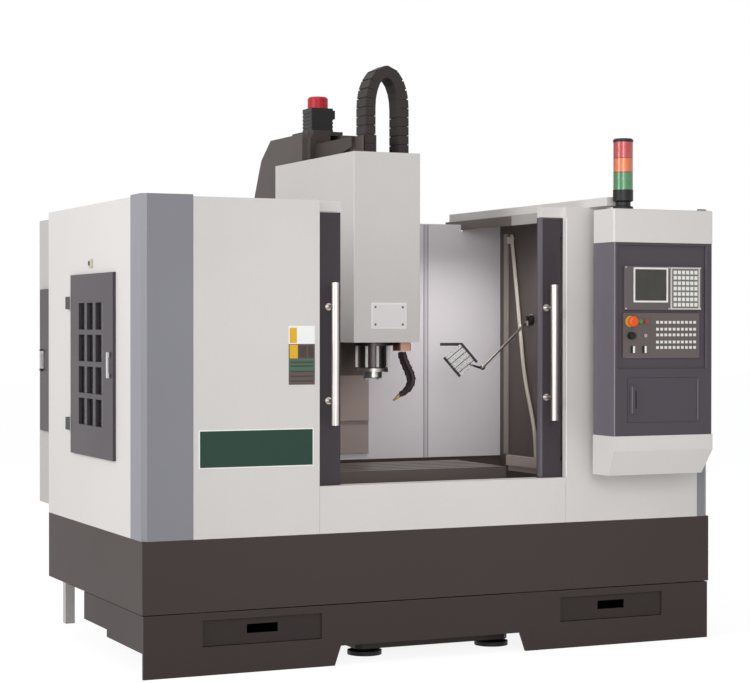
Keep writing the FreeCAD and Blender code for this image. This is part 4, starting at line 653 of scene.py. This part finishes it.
def panel_plate():
    """The bare green plate with its pale rim, on the left front panel."""
    x0, z0, x1, z1, rim = 244, 845, 739, 993, 5
    blocks("panel_plate_rim", [on_face(PANEL_FACE, 1.2, x0 - rim, z0 - rim, x1 + rim, z1 + rim)],
           sign_white, "machine", 0.4)
    blocks("panel_plate", [on_face(PANEL_FACE, 2.2, x0, z0, x1, z1, sink=-1.0)],
           sign_green, "machine", 0.4)


def label_block():
    """The block of plain colour fields beside the left door."""
    x0, x1 = 632, 749
    low, brown_low, white_low, high = 1178, 1284, 1347, 1422
    seam = 0.4
    green_low = 1236

    def field(name, rise, boxes, material, rounding, sink=0.2):
        blocks(name, [on_face(PANEL_FACE, rise, *box, sink=sink) for box in boxes], material,
               "machine", rounding)

    field("label_white", 1.1, [(x0, white_low, x1, high)], sign_white, 0.3)
    field("label_brown", 1.1, [(x0, brown_low, x1, white_low - seam)], sign_brown, 0.3)
    field("label_grey", 1.1, [(x0, low, x1, brown_low - seam)], sign_umber, 0.3)
    field("label_green", 1.4, [(x0, green_low, x1, brown_low - seam)], sign_grey_green, 0.2,
          sink=-0.8)
    field("label_yellow", 1.7, [(x0 + 4, 1287, x0 + 40, 1344), (x0 + 4, 1351, x0 + 36, 1414)],
          sign_yellow, 0.3, sink=-0.9)
    field("label_shades", 1.7, [(x0 + 46, 1290, x0 + 80, 1340), (x0 + 86, 1290, x0 + 112, 1340)],
          sign_dark, 0.3, sink=-0.9)
    field("label_lines", 1.9, [(x0 + 8, z, x1 - 8, z + 6) for z in (1190, 1210, 1230, 1252, 1268)],
          sign_dark, 0.3, sink=-0.9)


def head_plate():
    """The bare plate on the head's cover, held by four screws."""
    blocks("head_plate_rim", [on_face(HEAD_FACE, 1.2, 1276, 1408, 1453, 1527)], sign_white,
           "head", 0.5)
    blocks("head_plate", [on_face(HEAD_FACE, 2.0, 1284, 1416, 1445, 1519, sink=-0.8)],
           plate_paint, "head", 0.5)
    spots = [(x, HEAD_FACE - 1.9, z) for x in (1296, 1433) for z in (1428, 1507)]
    screw_heads("head_plate_screws", spots, "y", nose_metal, "head", 5.0, -2.4)


def edge_highlight_strips():
    """A white strip along the sheet's folded edge beside the right door: a painted highlight where
    the edge catches the light.
    """
    blocks("edge_highlight_strip", [on_face(PANEL_FACE, 1.4, 1950.4, 757, 1955.5, 1897, sink=0.4)],
           sign_white, "machine")


def tray_details():
    """Folded gutter sheets from the tray's opening to the bed, and a strip under the back apron."""
    left, right, front, back = 885.4, 1894.6, 160.4, 1205
    bed_left, bed_right, bed_front = 1021, 1759, 171
    low, tray_top, sheet = 432, 549.2, 1.6
    high = tray_top + 0.4
    column_side = 1212
    flanks = [(left, front, low, left + sheet, back, high),
              (right - sheet, front, low, right, back, high),
              (left, front, low, bed_left, back, low + sheet),
              (bed_right, front, low, right, back, low + sheet)]
    ends = [(left, front, low, right, front + sheet, high),
            (bed_left - 1, front, low, bed_right + 1, bed_front, low + sheet),
            (left, column_side, low, 1060, column_side + sheet, high),
            (1720, column_side, low, right, column_side + sheet, high)]
    strip = [(x0, y0, tray_top, x1, 1228, tray_top + sheet)
             for x0, x1, y0 in ((44, 1062, 1204), (1718, 2272, 1204), (1060, 1720, 1211.6))]
    blocks("chip_gutters", flanks + ends + strip, tray_steel, "machine", 0.4)


def roof_details():
    """The filler sheet that closes the roof's right front corner, behind the bevelled pillar."""
    low, high = 1940.8, 1942.8
    boxes = [(2555, 3.4, low, 2676, 70, high), (2660, 22, low, 2696.6, 157, high),
             (2670, 12, low, 2687, 24, high)]
    blocks("roof_filler", boxes, pale_paint, "machine", 0.3)


def side_details():
    """A switch block over the left service door."""
    blocks("switch_block", [(-11, 690, 1673, -0.2, 727, 1709)], ivory_plastic,
           "machine", 2)
    blocks("switch_rocker", [(-13.5, 700, 1681, -10.6, 717, 1701)], black_paint,
           "machine", 1)


def cabinet_details():
    """Louvres and a gland plate in the cabinet's back, and bolts on its top."""
    slats = [(230, CABINET_BACK - 0.4, low + 22 * i, 530, CABINET_BACK + 6, low + 22 * i + 9)
             for low in (720, 1560) for i in range(8)]
    blocks("cabinet_louvres", slats, shaded_cabinet_paint, "machine", 2.4)
    blocks("gland_plate", [(640, CABINET_BACK - 0.4, 640, 900, CABINET_BACK + 4, 760)],
           plate_silver, "machine", 1)
    spots = [(x, CABINET_BACK + 3.9, z) for x in (655, 885) for z in (655, 745)]
    screw_heads("gland_plate_screws", spots, "y", satin_silver, "machine", 5, 3)
    gland = [(18, 0), (18, 6), (13, 8), (13, 16), (8, 17)]
    for number in range(4):
        centre = (685 + 57 * number, CABINET_BACK + 3.6, 700)
        turned("cable_gland_%d" % (number + 1), gland, centre, "y", black_paint,
               "machine")
    spots = [(x, y, CABINET_TOP - 0.1) for x in (130, 930) for y in (1450, 1815)]
    screw_heads("cabinet_top_bolts", spots, "z", satin_silver, "machine", 11, 8)


def cable_conduit():
    """The ribbed conduit from the cabinet to the column, with a collar at both ends."""
    start, end = 980, 1207.5
    length = end - start
    core, rib, collar, step = 20, 23, 34, 6
    outline = [(collar, -0.5), (collar, 6), (core, 6)]
    for i in range(35):
        at = 8 + step * i
        outline += [(core, at), (rib, at + 2), (rib, at + 4), (core, at + 6)]
    outline += [(core, length - 6), (collar, length - 6), (collar, length)]
    turned("cable_conduit", outline, (start, 1640, 1700), "x", rubber,
           "machine")


def pendant_details():
    """The screen's bezel, the unit's screws, the stop's ring, and the compartment's fittings, with
    painted shade in its latch's recess.
    """
    x0, x1, z0, z1, rim, lap = 2142, 2302, 1532, 1668, 8, 0.4
    bars = [(x0 - rim, z0 - rim, x0, z1 + rim), (x1, z0 - rim, x1 + rim, z1 + rim),
            (x0 - lap, z0 - rim, x1 + lap, z0), (x0 - lap, z1, x1 + lap, z1 + rim)]
    blocks("screen_bezel", [on_face(UNIT_FACE, 2, *bar, sink=0.3) for bar in bars],
           plate_silver, "pendant")
    spots = [(x, UNIT_FACE + 0.1, z) for x in (2097, 2316, 2478) for z in (1497, 1676)]
    screw_heads("unit_screws", spots, "y", satin_silver, "pendant", 3.4, -1.8)
    ring = [(24, -1.8), (24, 0.2), (12, 0.2), (12, -1.8)]
    turned("stop_ring", ring, (2120, KEY_PANEL_FACE, 1441), "y", sign_yellow,
           "pendant", 32, hollow=True)
    # A black block sunk in the latch's recess: painted shade.
    blocks("latch_recess_shade", [on_face(LATCH_FACE, 0.8, 2137, 1062, 2147, 1142, sink=7.6)],
           black_paint, "pendant_door", 3)
    blocks("latch_edge", [on_face(LATCH_FACE, 0.9, 2121, 1044, 2126, 1160)], grip_plastic,
           "pendant_door")
    blocks("compartment_hinge", [(2461, -266.4, 1010, 2466, -264.6, 1190)], grip_plastic,
           "pendant")


def wall_details():
    """The double fold down the back wall and the corner post on the right wall."""
    low, high = 772, 1922
    folds = [on_face(WALL_FACE, 2.2, left, low, left + 4, high) for left in (1846, 1868)]
    blocks("wall_folds", folds, fold_paint, "machine", 0.8)
    blocks("wall_seam", [on_face(WALL_FACE, 0.8, 1850.5, low, 1867.5, high)], seam_paint,
           "machine", 0.2)
    blocks("corner_post", [(2266, 1128, 782, 2274.8, 1166, 1880)], post_paint,
           "machine", 1)


panel_plate()
label_block()
head_plate()
edge_highlight_strips()
tray_details()
roof_details()
side_details()
cabinet_details()
cable_conduit()
pendant_details()
wall_details()


# ---- stage, light and camera -----------------------------------------------------------------

def background_rays(tree):
    """1 for rays that show the background: to the camera, off a gloss, or through glass."""
    paths = tree.nodes.new("ShaderNodeLightPath").outputs
    either = math_node(tree, "MAXIMUM", paths["Is Camera Ray"], paths["Is Glossy Ray"])
    return math_node(tree, "MAXIMUM", either, paths["Is Transmission Ray"])


def floor():
    """A pale floor that looks nearly white but keeps the machine's soft shadow."""
    bpy.ops.mesh.primitive_plane_add(size=60, location=(0, 10, 0))
    plane = bpy.context.object
    plane.name = "floor"
    material, tree, shader = new_material("floor_white")
    cloud = noise(tree, object_coords(tree), 0.6, 2)
    tone = mix_color(tree, cloud, (0.82, 0.82, 0.82, 1), (0.86, 0.86, 0.86, 1))
    tree.links.new(tone, shader.inputs["Base Color"])
    shader.inputs["Roughness"].default_value = 0.9
    glow = add(tree, "ShaderNodeEmission", in_Color=(1, 1, 1, 1), in_Strength=1.17)
    blend = tree.nodes.new("ShaderNodeMixShader")
    tree.links.new(math_node(tree, "MULTIPLY", background_rays(tree), 0.76), blend.inputs[0])
    tree.links.new(shader.outputs[0], blend.inputs[1])
    tree.links.new(glow.outputs[0], blend.inputs[2])
    tree.links.new(blend.outputs[0], tree.nodes["Material Output"].inputs["Surface"])
    plane.data.materials.append(material)


def world():
    """A soft grey sky that is seen as white."""
    studio = bpy.data.worlds.new("studio")
    studio.use_nodes = True
    tree = studio.node_tree
    seen = mix_color(tree, background_rays(tree), (0.44, 0.445, 0.455, 1), (1, 1, 1, 1))
    tree.links.new(seen, tree.nodes["Background"].inputs["Color"])
    bpy.context.scene.world = studio


def area_light(name, at, look_at, size, power, spread=180):
    """A soft panel of light, spread being the full angle of its beam; the camera doesn't see it."""
    data = bpy.data.lights.new(name, "AREA")
    data.spread = math.radians(spread)
    data.shape = "RECTANGLE"
    data.size, data.size_y = size
    data.energy = power
    lamp = bpy.data.objects.new(name, data)
    bpy.context.collection.objects.link(lamp)
    lamp.location = at
    lamp.rotation_euler = (Vector(look_at) - Vector(at)).to_track_quat("-Z", "Y").to_euler()
    lamp.visible_camera = False


def camera():
    """The photo's own view, as fitted to the machine's edges."""
    yaw, pitch, roll = -24.576, -0.478, -0.03
    data = bpy.data.cameras.new("camera")
    data.sensor_width = 36
    data.lens = 95.31
    data.clip_end = 200
    view = bpy.data.objects.new("camera", data)
    bpy.context.collection.objects.link(view)
    view.location = (-3.8072, -8.4048, 1.4258)
    view.rotation_euler = (math.radians(90 + pitch), math.radians(roll), math.radians(yaw))
    bpy.context.scene.camera = view


floor()
world()
area_light("key", (-8.0, -2.0, 4.2), (-0.6, 0, 1.3), (4, 4), 355)
area_light("front", (-2.2, -9.0, 3.4), (0.2, 0, 1.0), (5, 3), 140)
area_light("top", (0, 0.5, 6.5), (0, 0.3, 0), (5, 5), 30)
area_light("fill", (-1.3, -4.6, 1.7), (0.74, -0.9, 1.35), (1.2, 2.0), 7.7, 70)
area_light("inside", (0.58, -0.14, 1.84), (0.50, 0.43, 0.80), (0.55, 0.10), 2.0, 110)
camera()
bpy.context.scene.view_settings.view_transform = "Standard"
